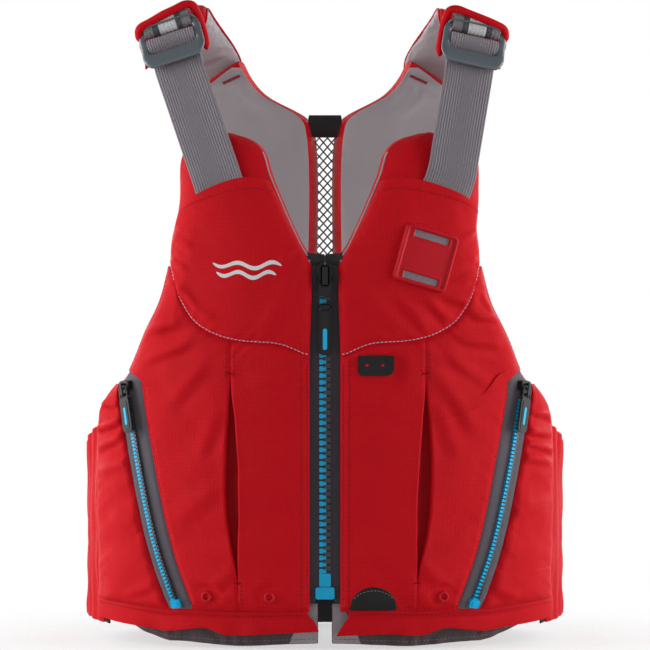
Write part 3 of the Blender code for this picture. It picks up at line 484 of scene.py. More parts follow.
RED = (0.53, 0.0030, 0.0090)
GREY = (0.325, 0.285, 0.302)
MATERIALS = {
    "red_nylon": nylon("red_nylon", RED, 0.52),
    # The pleat's floor: the red at half brightness, as painted shade deep in the pleat.
    "red_painted_shade": nylon("red_nylon_painted_pleat_shade", dark(RED, 0.50), 0.60, ripstop=4.0),
    "grey_lining": satin("grey_lining", GREY, 0.46),
    "grey_webbing": webbing("grey_webbing", (0.190, 0.168, 0.190), (0.46, 0.43, 0.46), 0.52),
    "striped_webbing": webbing(
        "striped_webbing", (0.25, 0.24, 0.25), (0.40, 0.38, 0.40), 0.50, 1.2,
        [(0.0, (0.155, 0.145, 0.160)), (0.18, (0.014, 0.014, 0.016)), (0.32, (0.62, 0.63, 0.63)),
         (0.70, (0.014, 0.014, 0.016)), (0.83, (0.155, 0.145, 0.160))]),
    "taupe_nylon": nylon("taupe_nylon", (0.085, 0.066, 0.070), 0.62, 0.6, 9.0, 0.2),
    "black_webbing": webbing("black_webbing", (0.014, 0.014, 0.015), (0.03, 0.03, 0.032), 0.72, 1.6),
    "black_mesh": moulded("black_mesh", (0.012, 0.012, 0.013), 0.62),
    "zip_tape": tape("zip_tape", (0.072, 0.062, 0.078)),
    "centre_tape": tape("centre_tape", (0.048, 0.039, 0.051)),
    "blue_plastic": moulded("blue_plastic", (0.003, 0.42, 0.72), 0.40, 0.015, 0.0, 0.25),
    "dark_plastic": moulded("dark_teeth", (0.040, 0.034, 0.038), 0.45, 0.015),
    "black_plastic": moulded("black_plastic", (0.009, 0.009, 0.010), 0.46, 0.02, 0.0, 0.28),
    "grey_plastic": moulded("grey_plastic", (0.085, 0.103, 0.120), 0.30, 0.02, 0.35),
    "red_rubber": moulded("red_rubber", (0.46, 0.004, 0.012), 0.50, 0.05, 0.0, 0.16),
    "black_rubber": moulded("black_rubber", (0.010, 0.009, 0.009), 0.60, 0.05, 0.0, 0.25),
    "red_thread": moulded("red_thread", (0.23, 0.003, 0.008), 0.6, 0.05, 0.0, 0.2),
    "lilac_thread": moulded("lilac_thread", (0.42, 0.38, 0.50), 0.55, 0.05),
    "grey_thread": moulded("grey_thread", (0.16, 0.145, 0.155), 0.6, 0.05),
    "pale_print": moulded("pale_print", (0.62, 0.63, 0.64), 0.40, 0.02),
}


# ---- meshes --------------------------------------------------------------------------------------
def linked(name, data):
    """A new object, in the scene."""
    made = bpy.data.objects.new(name, data)
    bpy.context.scene.collection.objects.link(made)
    return made


def bare_mesh(name, points, faces):
    """A mesh of points and faces, without materials."""
    mesh = bpy.data.meshes.new(name)
    mesh.from_pydata(np.asarray(points, float).reshape(-1, 3).tolist(), [],
                     [list(map(int, f)) for f in faces])
    return mesh


def piece(name, points, faces, finishes, uv=None, shares=None):
    """A mesh object from arrays. finishes names one or more materials, and shares gives each
    face's place among them."""
    mesh = bare_mesh(name, points, faces)
    for finish in [finishes] if isinstance(finishes, str) else finishes:
        mesh.materials.append(MATERIALS[finish])
    if shares is not None:
        mesh.polygons.foreach_set("material_index", np.asarray(shares, np.int32))
    if uv is not None:
        layer = mesh.uv_layers.new(name="cloth")
        corner = np.zeros(len(mesh.loops), np.int32)
        mesh.loops.foreach_get("vertex_index", corner)
        layer.data.foreach_set("uv", np.asarray(uv, float).reshape(-1, 2)[corner].ravel())
    bm = bmesh.new()
    bm.from_mesh(mesh)
    bmesh.ops.recalc_face_normals(bm, faces=bm.faces)
    bm.to_mesh(mesh)
    bm.free()
    mesh.shade_smooth()
    return linked(name, mesh)


def quads(nu, nv):
    """Faces of a grid whose points run along v first."""
    i, j = np.meshgrid(np.arange(nu - 1), np.arange(nv - 1), indexing="ij")
    a = i * nv + j
    return np.stack([a, a + nv, a + nv + 1, a + 1], -1).reshape(-1, 4)


def rim(nu, nv):
    """A grid's boundary points in order round it, and each one's neighbour further in."""
    index = np.arange(nu * nv).reshape(nu, nv)
    ring = np.concatenate([index[:-1, 0], index[-1, :-1], index[:0:-1, -1], index[0, :0:-1]])
    i, j = ring // nv, ring % nv
    inner = index[np.clip(i, 1, nu - 2), np.clip(j, 1, nv - 2)]
    return ring, inner


def slab(name, top, under, finishes, uv, wall=((0.5, 0.5),), wall_share=0, under_share=0):
    """A closed sheet or pad between two grids. wall lists the rings between their edges, each as
    how far down it lies and how far out, both as shares of the edge's thickness."""
    nu, nv = top.shape[:2]
    count = nu * nv
    ring, inner = rim(nu, nv)
    over, below = top.reshape(-1, 3), under.reshape(-1, 3)
    outward = over[ring] - over[inner]
    outward /= np.maximum(1e-9, np.linalg.norm(outward, axis=1))[:, None]
    thick = np.linalg.norm(over[ring] - below[ring], axis=1)[:, None]
    rings = [over[ring] * (1 - t) + below[ring] * t + outward * thick * bulge for t, bulge in wall]
    points = np.vstack([over, below] + rings)
    loops = [ring] + [2 * count + k * len(ring) + np.arange(len(ring)) for k in range(len(wall))]
    loops.append(count + ring)
    body = quads(nu, nv)
    faces = [body, body[:, ::-1] + count]
    shares = [np.zeros(len(body)), np.full(len(body), under_share)]
    for a, b in zip(loops, loops[1:]):
        faces.append(np.stack([a, b, np.roll(b, -1), np.roll(a, -1)], -1))
        shares.append(np.full(len(ring), wall_share))
    flat = uv.reshape(-1, 2)
    steps = [flat[ring] + np.array([0.0, t]) * thick for t, bulge in wall]
    return piece(name, points, np.vstack(faces), finishes, np.vstack([flat, flat] + steps),
                 np.concatenate(shares))


def normals_of(points):
    """Unit normals of a grid of points, all on one side of it."""
    a, b = np.gradient(points, axis=0), np.gradient(points, axis=1)
    n = np.cross(a, b)
    return n / np.maximum(1e-12, np.linalg.norm(n, axis=-1))[..., None]


def front_normals(points):
    """Unit normals of a grid on the front, away from the body."""
    n = normals_of(points)
    return -n if n[n.shape[0] // 2, n.shape[1] // 2, 1] > 0 else n


def flat_uv(across, along):
    """Where a grid's points lie on the flat strip, from their distances across and along it."""
    return np.stack(np.broadcast_arrays(across[:, None], along[None, :]), -1)


def thickened(points, thick_mm, out):
    """Grids half a thickness to each side of a grid; out is a point on the outer side."""
    n = normals_of(points)
    middle = points[points.shape[0] // 2, points.shape[1] // 2]
    if np.dot(n[n.shape[0] // 2, n.shape[1] // 2], np.asarray(out) - middle) < 0:
        n = -n
    return points + n * thick_mm / 2 * MM, points - n * thick_mm / 2 * MM


def tube(path, radius, sides=8):
    """Points and faces of a round closed tube along a path. radius is one number or one for each
    point."""
    path = np.asarray(path, float)
    radius = np.broadcast_to(radius, len(path))
    along = np.gradient(path, axis=0)
    along /= np.maximum(1e-12, np.linalg.norm(along, axis=1))[:, None]
    side = np.cross(along[0], (0.3, 0.2, 1.0))
    points = []
    for p, t, r in zip(path, along, radius):
        side = side - t * np.dot(side, t)
        side /= np.linalg.norm(side)
        other = np.cross(t, side)
        turn = np.linspace(0, 2 * math.pi, sides, endpoint=False)[:, None]
        points.append(p + r * (np.cos(turn) * side + np.sin(turn) * other))
    faces = []
    for k in range(len(path) - 1):
        a = k * sides + np.arange(sides)
        b = k * sides + (np.arange(sides) + 1) % sides
        faces.append(np.stack([a, b, b + sides, a + sides], -1))
    faces = [list(f) for f in np.vstack(faces)]
    faces.append(list(range(sides))[::-1])
    faces.append([(len(path) - 1) * sides + k for k in range(sides)])
    return np.vstack(points), faces


def merged(parts):
    """Points and faces of several (points, faces) as one."""
    points, faces, start = [], [], 0
    for p, f in parts:
        points.append(p)
        faces += [[start + k for k in face] for face in f]
        start += len(p)
    return np.vstack(points), faces


def stitches(name, row, finish, body, slot, length=2.6, gap=1.0, radius=0.30):
    """A row of stitches on the cloth; row gives points along it and each one's outward direction.
    Lengths are in millimetres."""
    line, out = row
    along = distances(line)
    starts = np.arange(0, along[-1] - length * MM, (length + gap) * MM)
    shares = np.array([0.0, 0.14, 0.5, 0.86, 1.0])
    sizes = np.array([0.35, 0.95, 1.0, 0.95, 0.35]) * radius * MM
    lifts = np.array([-0.45, 0.15, 0.35, 0.15, -0.45]) * radius * MM
    parts = []
    for start in starts:
        at = start + shares * length * MM
        p = np.stack([np.interp(at, along, line[:, k]) for k in range(3)], -1)
        n = np.stack([np.interp(at, along, out[:, k]) for k in range(3)], -1)
        parts.append(tube(p + n * lifts[:, None], sizes, 6))
    show(piece(name, *merged(parts), finish), body, slot=slot)


class Solid:
    """Hard fittings put together from bevelled prisms."""

    def __init__(self):
        self.parts, self.shares = [], []

    def prism(self, outline, low, high, bevel=0.0003, place=Matrix.Identity(4), share=0):
        """An outline of (x, z) points, between two depths along y, with bevelled edges."""
        bm = bmesh.new()
        base = bm.faces.new([bm.verts.new((x, low, z)) for x, z in outline])
        moved = bmesh.ops.extrude_face_region(bm, geom=[base])["geom"]
        for v in moved:
            if isinstance(v, bmesh.types.BMVert):
                v.co.y = high
        if bevel:
            bmesh.ops.bevel(bm, geom=bm.edges, offset=bevel, segments=2, affect="EDGES",
                            clamp_overlap=True)
        bm.verts.index_update()
        points = np.array([place @ v.co for v in bm.verts])
        faces = [[v.index for v in f.verts] for f in bm.faces]
        bm.free()
        self.parts.append((points, faces))
        self.shares += [share] * len(faces)

    def box(self, low, high, bevel=0.0003, place=Matrix.Identity(4), share=0):
        outline = [(low[0], low[2]), (high[0], low[2]), (high[0], high[2]), (low[0], high[2])]
        self.prism(outline, low[1], high[1], bevel, place, share)

    def add(self, points, faces, share=0):
        self.parts.append((points, faces))
        self.shares += [share] * len(faces)

    def done(self, name, finishes):
        made = piece(name, *merged(self.parts), finishes, shares=self.shares)
        made.data.set_sharp_from_angle(angle=math.radians(40))
        return made


def round_box(width, height, radius, steps=5):
    """Outline of a rectangle with round corners, round its middle."""
    points = []
    for k, (sx, sz) in enumerate(((1, 1), (-1, 1), (-1, -1), (1, -1))):
        for n in range(steps + 1):
            a = math.pi / 2 * (k + n / steps)
            points.append((sx * (width / 2 - radius) + radius * math.cos(a),
                           sz * (height / 2 - radius) + radius * math.sin(a)))
    return points


def shifted(outline, z):
    """An outline moved up by z."""
    return [(a, b + z) for a, b in outline]


def both_halves(right):
    """A whole outline from its right half, listed from the foot up."""
    left = [(-x, z) for x, z in reversed(right)]
    return left[-1:] + right + left[:-1]


def placing(origin, x_axis, z_axis):
    """A matrix with its x along x_axis and its z as near z_axis as it can be."""
    x_axis = Vector(x_axis).normalized()
    y_axis = Vector(z_axis).cross(x_axis).normalized()
    z_axis = x_axis.cross(y_axis)
    return Matrix.Translation(origin) @ Matrix((x_axis, y_axis, z_axis)).transposed().to_4x4()


def show(made, body, *nodes, slot=None):
    """Put a piece on its body, in place of CAD nodes if any are named."""
    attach(made, body)
    if nodes:
        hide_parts(*nodes)
    return made


# ---- cloth simulation ----------------------------------------------------------------------------
class Cloths:
    """Collects cloths, runs them together, and gives how far each point moved."""
    FRAMES = 22

    def __init__(self):
        self.jobs = {}

    def add(self, name, points, faces, pins, pressure, spare, cap, seed):
        """A cloth pinned at some points and cut spare larger than its place; cap in millimetres."""
        rough = np.random.default_rng(seed).normal(0, 0.00025, points.shape)
        rough[pins] = 0
        made = linked("sim_" + name, bare_mesh("sim_" + name, points + rough, faces))
        made.vertex_groups.new(name="pins").add([int(k) for k in pins], 1.0, "REPLACE")
        settings = made.modifiers.new("cloth", "CLOTH").settings
        settings.quality = 5
        settings.mass = 0.3
        settings.vertex_group_mass = "pins"
        settings.use_pressure = True
        settings.uniform_pressure_force = pressure
        settings.effector_weights.gravity = 0.0
        settings.shrink_min = -spare
        settings.bending_stiffness = 0.3
        self.jobs[name] = (made, points, cap * MM)

    def grid(self, name, points, pressure, spare, cap, seed, out):
        """A cloth over a grid of points, pinned round its edge; pressure pushes towards out."""
        nu, nv = points.shape[:2]
        faces = quads(nu, nv)
        middle = nu // 2, nv // 2
        n = normals_of(points)[middle]
        if np.dot(n, np.asarray(out) - points[middle]) < 0:
            faces = faces[:, ::-1]
        self.add(name, points.reshape(-1, 3), faces, rim(nu, nv)[0], pressure, spare, cap, seed)

    def run(self):
        """Step the simulation and keep each cloth's moves, limited softly by its cap."""
        moves = {}
        for number in range(1, self.FRAMES + 1):
            bpy.context.scene.frame_set(number)
        graph = bpy.context.evaluated_depsgraph_get()
        for name, (made, points, cap) in self.jobs.items():
            found = np.zeros(len(points) * 3, np.float32)
            made.evaluated_get(graph).data.vertices.foreach_get("co", found)
            found = found.reshape(-1, 3) - points
            found = found.reshape(-1, 3).astype(float)
            size = np.maximum(1e-9, np.linalg.norm(found, axis=1))[:, None]
            moves[name] = found * np.tanh(size / cap) * cap / size
            bpy.data.objects.remove(made, do_unlink=True)
        bpy.context.scene.frame_set(1)
        return moves


# ---- the jacket's panels -------------------------------------------------------------------------
POCKET_X = edge([(z, x) for x, z in POCKET_CURVE])
YOKE_FOOT = [
    (0.0124, 0.2268), (0.0170, 0.2285), (0.0350, 0.2361), (0.0666, 0.2392), (0.0861, 0.2447),
    (0.1018, 0.2549), (0.1135, 0.2745), (0.1210, 0.2950), (0.1252, 0.3060)]
YOKE_TOP = [
    (0.0450, 0.3668), (0.0540, 0.3694), (0.0640, 0.3694), (0.0790, 0.3658), (0.1000, 0.3560),
    (0.1180, 0.3430)]
YOKE_NEAR = [(0.0124, 0.2268), (0.0124, 0.3000), (0.0205, 0.3176), (0.0450, 0.3668)]
YOKE_FAR = [(0.1252, 0.3060), (0.1240, 0.3205), (0.1180, 0.3430)]
YOKE = Patch(YOKE_FOOT, YOKE_TOP, YOKE_NEAR, YOKE_FAR)

POCKET_TOP = [
    (0.0124, 0.2285), (0.0350, 0.2375), (0.0666, 0.2408), (0.0861, 0.2463), (0.1010, 0.2565),
    (0.1120, 0.2750), (0.1180, 0.2920), (0.1270, 0.3000)]
POCKET_FAR = [(x - POCKET_FRONT_INSET, z) for x, z in POCKET_CURVE] + [
    (0.1440, 0.2190), (0.1500, 0.2198), (0.1595, 0.2185), (0.1575, 0.2240), (0.1475, 0.2470),
    (0.1350, 0.2720), (0.1270, 0.3000)]
POCKET_FRONT = Patch(
    [(0.0124, HEM_SEAM), (0.1024, HEM_SEAM)], POCKET_TOP, [(0.0124, HEM_SEAM), (0.0124, 0.2285)],
    POCKET_FAR)
SIDE_NEAR = [(x + POCKET_INSET, z) for x, z in POCKET_CURVE]
POCKET_SIDE = Patch(
    [(0.1194, HEM_SEAM), (0.1815, HEM_SEAM)], [(0.1640, 0.2055), (0.1690, 0.2060)], SIDE_NEAR,
    [(0.1815, HEM_SEAM), (0.1815, 0.1650), (0.1790, 0.1860), (0.1690, 0.2060)])
# The open pleat in each pocket: its two lips as (height, distance off the middle).
PLEAT = {
    -1: ([(0.0280, 0.0672), (0.0509, 0.0670), (0.0972, 0.0660), (0.1372, 0.0663), (0.1725, 0.0683),
          (0.2118, 0.0727), (0.2450, 0.0727)],
         [(0.0280, 0.0675), (0.0509, 0.0680), (0.0972, 0.0761), (0.1215, 0.0779), (0.1663, 0.0766),
          (0.2118, 0.0736), (0.2450, 0.0730)]),
    1: ([(0.0280, 0.0708), (0.0509, 0.0707), (0.0893, 0.0701), (0.1215, 0.0709), (0.1694, 0.0738),
         (0.2118, 0.0774), (0.2450, 0.0774)],
        [(0.0280, 0.0711), (0.0509, 0.0716), (0.0972, 0.0810), (0.1372, 0.0831), (0.1725, 0.0818),
         (0.2118, 0.0782), (0.2450, 0.0777)]),
}
PLEAT_ENDS = (0.0509, 0.2118)
PLEAT_DEPTH = 3.6
PLEAT_COLUMNS = 66           # columns of the pocket's grid on each side of its pleat
YOKE_TALL, YOKE_HEM = 115, 8.0          # height of the yoke and of its top hem, in mm
POCKET_WIDE = 125            # width of the pocket's front, in mm
OVERLAY_THICK = 1.1
# Folds in the cloth: two ends as (distance off the middle, height), half width and height in mm.
FOLDS = {
    ("yoke", 1): [
        ((0.1010, 0.3010), (0.1200, 0.3060), 3.0, 1.0), ((0.0960, 0.2880), (0.1210, 0.2920), 3.2, 1.1),
        ((0.0890, 0.2800), (0.1110, 0.2700), 3.5, 1.2), ((0.0760, 0.2790), (0.0990, 0.2560), 4.0, 1.1),
        ((0.0300, 0.2800), (0.0600, 0.2480), 5.0, 0.7), ((0.1040, 0.3200), (0.1220, 0.3300), 3.0, 0.9),
        ((0.0560, 0.2780), (0.0800, 0.2480), 4.5, 0.7)],
    ("yoke", -1): [
        ((0.1080, 0.2960), (0.1230, 0.3050), 3.0, 0.9), ((0.1000, 0.2700), (0.1160, 0.2840), 3.5, 1.0),
        ((0.0860, 0.2600), (0.1030, 0.2680), 4.0, 0.8), ((0.0250, 0.2900), (0.0500, 0.2450), 6.0, 0.6),
        ((0.0230, 0.3120), (0.0330, 0.3020), 3.0, 0.8), ((0.1030, 0.3150), (0.1220, 0.3230), 3.5, 0.8)],
    ("pocket", 1): [
        ((0.1120, 0.2610), (0.1400, 0.2580), 3.5, 1.5), ((0.1020, 0.2450), (0.1380, 0.2380), 4.0, 1.3),
        ((0.0950, 0.2300), (0.1300, 0.2050), 5.0, 0.9), ((0.0820, 0.2200), (0.1180, 0.1700), 6.0, 0.9),
        ((0.0830, 0.1950), (0.1050, 0.1500), 6.0, 0.7), ((0.0200, 0.2000), (0.0560, 0.2180), 7.0, 0.7),
        ((0.0720, 0.0700), (0.1000, 0.0420), 5.0, 0.7), ((0.1230, 0.2780), (0.1330, 0.2660), 3.0, 1.2)],
    ("pocket", -1): [
        ((0.1100, 0.2560), (0.1430, 0.2480), 4.0, 1.4), ((0.1020, 0.2430), (0.1400, 0.2250), 4.5, 1.2),
        ((0.0900, 0.2250), (0.1220, 0.1900), 6.0, 0.9), ((0.0800, 0.1900), (0.1000, 0.1500), 6.0, 0.8),
        ((0.0830, 0.1300), (0.1150, 0.1000), 7.0, 0.7), ((0.0250, 0.2080), (0.0600, 0.2150), 6.0, 0.6),
        ((0.0680, 0.0650), (0.0950, 0.0420), 5.0, 0.7)],
    ("side", 1): [
        ((0.1520, 0.1720), (0.1810, 0.1660), 2.8, 1.6), ((0.1560, 0.1620), (0.1810, 0.1520), 2.8, 1.3),
        ((0.1500, 0.1500), (0.1790, 0.1430), 3.5, 1.2), ((0.1620, 0.1850), (0.1800, 0.1800), 2.4, 1.3),
        ((0.1400, 0.1000), (0.1770, 0.1150), 5.0, 0.8), ((0.1280, 0.0480), (0.1500, 0.0350), 4.0, 0.9)],
    ("side", -1): [
        ((0.1600, 0.1780), (0.1810, 0.1700), 2.6, 1.6), ((0.1560, 0.1680), (0.1800, 0.1540), 3.0, 1.3),
        ((0.1500, 0.1450), (0.1780, 0.1350), 4.0, 1.0), ((0.1350, 0.0900), (0.1650, 0.1000), 5.0, 0.7),
        ((0.1280, 0.0500), (0.1560, 0.0370), 4.0, 1.0), ((0.1620, 0.1900), (0.1770, 0.1900), 2.2, 1.2)],
}
FOLD_SHARE = 1.5             # how much of a fold's listed height is used

# Where fittings are sewn on, as (side, distance off the middle, height, reach), the cloth lies flat.
SEWN_ON = [(1, 0.0780, 0.3060, 0.032), (1, 0.0400, 0.2210, 0.020), (1, 0.0376, 0.0380, 0.024),
           (1, 0.0916, 0.0400, 0.010), (-1, 0.0916, 0.0400, 0.010), (-1, 0.0430, 0.0400, 0.010)]


def calm(side, x, z):
    """0 where something is sewn on, 1 away from it."""
    share = np.ones_like(x)
    for where, x0, z0, reach in SEWN_ON:
        if where == side:
            share = share * step((np.hypot(x - x0, z - z0) / reach - 0.75) / 0.6)
    return share


def folds(kind, side, x, z):
    """Height of a panel's folds, in millimetres."""
    total = np.zeros_like(x)
    for (x0, z0), (x1, z1), wide, high in FOLDS[kind, side]:
        dx, dz = x1 - x0, z1 - z0
        long = math.hypot(dx, dz)
        along = ((x - x0) * dx + (z - z0) * dz) / long ** 2
        off = ((x - x0) * dz - (z - z0) * dx) / long / MM
        off = off + 1.2 * noise(x, z, 0.020, 3)
        taper = step((along + 0.15) / 0.4) * step((1.15 - along) / 0.4)
        ridge = np.exp(-(off / wide) ** 2) - 0.55 * np.exp(-((off - 1.6 * wide) / wide) ** 2)
        total += FOLD_SHARE * high * ridge * taper
    return total


def pucker(distance_mm, along, pitch_mm, high, seed):
    """Small gathers across a seam, dying out away from it."""
    wave_ = noise(along, along * 0 + 0.01 * seed, pitch_mm * MM, seed)
    return high * wave_ * np.exp(-np.maximum(distance_mm, 0) / (1.7 * pitch_mm))


def bulge_of(moves, name, nu, nv, u, v, blur=2):
    """A simulated cloth's moves, its finest wrinkles evened out, read at u, v."""
    field = moves[name].reshape(nu, nv, 3)
    for _ in range(blur):
        wide = np.pad(field, ((1, 1), (1, 1), (0, 0)), mode="reflect", reflect_type="odd")
        field = (wide[:-2, 1:-1] + wide[2:, 1:-1] + wide[1:-1, :-2] + wide[1:-1, 2:] + 2 * field) / 6
    return cubic(field, u, v)


def drop_to_edges(u, v, wide, long, edges, reach=6.0):
    """0 at a panel's sewn edges, 1 beyond reach millimetres from them. edges names which."""
    far_off = np.full(np.shape(u), 1e3)
    for name, distance in (("near", u * wide), ("far", (1 - u) * wide), ("foot", v * long),
                           ("top", (1 - v) * long)):
        if name in edges:
            far_off = np.minimum(far_off, distance)
    return 1 - (1 - np.clip(far_off / reach, 0, 1)) ** 2, far_off


COARSE = {"yoke": (26, 34), "pocket": (30, 52), "side": (16, 42), "back": (30, 66),
          "back_lining": (28, 60), "front_lining": (36, 84)}
cloths = Cloths()


def coarse_points(kind, side, place, patch, out):
    """The coarse grid that a panel's simulation runs on."""
    u, v = unit_grid(*COARSE[kind])
    x, z = patch.at(u, v)
    return place(side, x, z, out(x, z))


class Span:
    """A panel given by two edges over a range of heights, with the same calls as Patch."""

    def __init__(self, near, far, low, high):
        self.near, self.far, self.low, self.high = near, far, low, high

    def at(self, u, v):
        z = self.low + (self.high - self.low) * v
        near, far = self.near(z), self.far(z)
        return near + (far - near) * u, z


FRONT_SPAN = Span(NEAR_EDGE, FAR_EDGE, 0.0300, 0.4060)
BACK_SPAN = Span(BACK_NEAR_EDGE, BACK_FAR_EDGE, 0.1900, 0.4740)
LINING_INSET = 0.0085


def back_lining_near(z):
    return BACK_NEAR_EDGE(z) + LINING_INSET


BACK_LINING_SPAN = Span(back_lining_near, lambda z: BACK_FAR_EDGE(z) - 0.003, 0.1930, 0.4690)
OUTSIDE = {"front": (0, -3, 0.25), "back": (0, 3, 0.25), "inside": (0, 0, 0.25)}


def plan_cloths():
    """Every flat cloth that is simulated."""
    for side in SIDES.values():
        tag = "l" if side > 0 else "r"
        for kind, patch, pressure, spare, cap in (
                ("yoke", YOKE, 1.2, 0.006, 5.0), ("pocket", POCKET_FRONT, 1.4, 0.007, 6.0),
                ("side", POCKET_SIDE, 1.2, 0.014, 5.0)):
            points = coarse_points(kind, side, front, patch, lambda x, z: front_puff(x, z) + OVERLAY)
            cloths.grid(kind + tag, points, pressure, spare, cap, 11 + side + len(kind),
                        OUTSIDE["front"])
        points = coarse_points("back", side, back, BACK_SPAN, lambda x, z: back_puff(x, z) + SHELL)
        cloths.grid("back" + tag, points, 2.0, 0.010, 6.0, 23 + side, OUTSIDE["back"])
        points = coarse_points("back_lining", side, back, BACK_LINING_SPAN, lambda x, z: x * 0 + LINING)
        cloths.grid("back_lining" + tag, points, 0.5, 0.010, 3.0, 31 + side, OUTSIDE["inside"])
        points = coarse_points("front_lining", side, front, FRONT_SPAN, lambda x, z: x * 0 + LINING)
        cloths.grid("front_lining" + tag, points, 0.5, 0.008, 2.5, 37 + side, OUTSIDE["inside"])


# ---- shoulder pads -------------------------------------------------------------------------------
PAD_RING, PAD_LONG = 40, 56


def pad_rings(side):
    """The pad as rings of points round it, one ring for each step along it."""
    x = BUCKLE_AT[side][0]
    middle = through([(side * (x - inward), y, z) for inward, y, z in PAD_PATH])
    path = middle(np.linspace(0, 1, PAD_LONG))
    lateral = np.array([side * math.cos(PAD_TILT), 0, -math.sin(PAD_TILT)])
    along = np.gradient(path, axis=0)
    along /= np.linalg.norm(along, axis=1)[:, None]
    normal = np.cross(along, lateral)
    normal *= np.sign(normal[:, 2:3])
    share = np.linspace(0, 1, PAD_LONG)
    ends = np.minimum(share, 1 - share)
    wide = PAD_WIDTH / 2 * (0.80 + 0.20 * step(ends / 0.14)) - 0.0015
    thick = PAD_THICK / 2 * (0.28 + 0.72 * np.sqrt(step(ends / 0.10)))
    turn = np.linspace(0, 2 * math.pi, PAD_RING, endpoint=False)
    c, s = np.cos(turn), np.sin(turn)
    a = np.sign(c) * np.abs(c) ** 0.55
    b = np.sign(s) * np.abs(s) ** 0.80
    return (path[:, None] + lateral * (wide[:, None] * a)[..., None]
            + normal[:, None] * (thick[:, None] * b)[..., None])


def pad_faces():
    """Faces of the rings, then two fans that close the ends."""
    faces = []
    for j in range(PAD_LONG - 1):
        for i in range(PAD_RING):
            k = (i + 1) % PAD_RING
            faces.append([j * PAD_RING + i, j * PAD_RING + k, (j + 1) * PAD_RING + k,
                          (j + 1) * PAD_RING + i])
    half = PAD_RING // 2
    for start, flip in ((0, True), ((PAD_LONG - 1) * PAD_RING, False)):
        for i in range(half):
            face = [start + i, start + (i + 1) % PAD_RING, start + (PAD_RING - 1 - i) % PAD_RING,
                    start + (PAD_RING - i) % PAD_RING]
            face = list(dict.fromkeys(face))
            if len(face) > 2:
                faces.append(face[::-1] if flip else face)
    return faces


def plan_pads():
    """The pads puff up between their side seams, which stay put with both ends."""
    for side in SIDES.values():
        rings = pad_rings(side)
        index = np.arange(PAD_LONG * PAD_RING).reshape(PAD_LONG, PAD_RING)
        pins = np.unique(np.concatenate([index[0], index[-1], index[:, 0], index[:, PAD_RING // 2]]))
        cloths.add("pad" + ("l" if side > 0 else "r"), rings.reshape(-1, 3), pad_faces(), pins,
                   2.5, 0.012, 3.5, 41 + side)


plan_cloths()
plan_pads()
MOVES = cloths.run()


def shoulder_pad(tag, side):
    """Padded shoulder: red above, grey lining under, a welt along both side seams."""
    rings = pad_rings(side) + MOVES["pad" + tag[0]].reshape(PAD_LONG, PAD_RING, 3)
    faces = pad_faces()
    under = PAD_RING // 2
    shares = [int(under <= (f[0] % PAD_RING) < PAD_RING) for f in faces]
    lengths = np.linspace(0, 0.215, PAD_LONG)
    uv = np.stack(np.broadcast_arrays(distances(rings[PAD_LONG // 2])[None, :], lengths[:, None]), -1)
    made = piece("shoulder_pad_cover_" + tag, rings, faces, ["red_nylon", "grey_lining"], uv, shares)
    subdivide(made)
    show(made, "back", "shoulder_pad_" + tag, slot="red_nylon")
    parts = []
    for column in (0, under):
        line = rings[:, column]
        inward = rings[:, under - column if column else under] - line
        inward /= np.linalg.norm(inward, axis=1)[:, None]
        parts.append(tube(line - inward * 0.4 * MM, 0.95 * MM, 8))
    welt = piece("shoulder_welt_" + tag, *merged(parts), "red_nylon", uv=np.zeros((2 * PAD_LONG * 8, 2)))
    show(welt, "back", slot="red_nylon")


def subdivide(made, levels=1):
    """Catmull-Clark subdivision, applied."""
    modifier = made.modifiers.new("smooth", "SUBSURF")
    modifier.levels = levels
    modifier.render_levels = levels
    graph = bpy.context.evaluated_depsgraph_get()
    mesh = bpy.data.meshes.new_from_object(made.evaluated_get(graph), depsgraph=graph)
    made.modifiers.clear()
    made.data = mesh


# ---- front halves --------------------------------------------------------------------------------
def cloth_uv(x, z):
    """Where a point lies on the flat cloth, in metres."""
    return np.stack([girth(x), z], -1)


def hollow(u, v):
    """Millimetres a cover's inner face stands off its lining, away from the edges."""
    inside = np.minimum(np.minimum(u, 1 - u), np.minimum(v, 1 - v))
    return 4.0 * step((inside - 0.02) / 0.12)


def front_cover(tag, side):
    """Foam panel in its red cover, with rounded sides."""
    u, v = unit_grid(60, 130)
    x, z = FRONT_SPAN.at(u, v)
    x = x + COVER_EASE * (1 - step(u / 0.08)) * step((0.3000 - z) / 0.020)
    relief = 0.5 * noise(x, z, 0.030, 5 + side)
    under_pocket = (step((0.236 - z) / 0.012) * step((x - 0.018) / 0.010)
                    * step((POCKET_X(z) - 0.014 - x) / 0.008))
    relief = relief * (1 - fall(FAR_EDGE(z) - x)) - 2.6 * under_pocket
    top = front(side, x, z, front_puff(x, z) + SHELL + relief)
    inner_x = np.clip(x, NEAR_EDGE(z) + 0.002, FAR_EDGE(z) - 0.001)
    under = front(side, inner_x, z, LINING + 0.8 + hollow(u, v))
    wall = [(t, 0.13 * math.sin(math.pi * t)) for t in (0.1, 0.25, 0.4, 0.55, 0.7, 0.85, 0.95)]
    made = slab("front_cover_" + tag, top, under, ["red_nylon"], cloth_uv(x, z), wall)
    show(made, "front_" + tag, "front_shell_" + tag, "front_foam_" + tag, slot="red_nylon")


def front_lining(tag, side):
    """Satin lining on the body side of a front half."""
    u, v = unit_grid(70, 160)
    x, z = FRONT_SPAN.at(u, v)
    flat = front(side, x, z, LINING)
    moved = flat + bulge_of(MOVES, "front_lining" + tag[0], *COARSE["front_lining"], u, v)
    top, under = thickened(moved, 0.5, OUTSIDE["inside"])
    made = slab("front_lining_cloth_" + tag, top, under, ["grey_lining"], cloth_uv(x, z))
    show(made, "front_" + tag, "front_lining_" + tag, slot="grey_lining")


def paint(made, cells):
    """Give a slab's upper faces its second finish where cells is true."""
    index = np.zeros(len(made.data.polygons), np.int32)
    made.data.polygons.foreach_get("material_index", index)
    index[:cells.size] = cells.ravel()
    made.data.polygons.foreach_set("material_index", index)


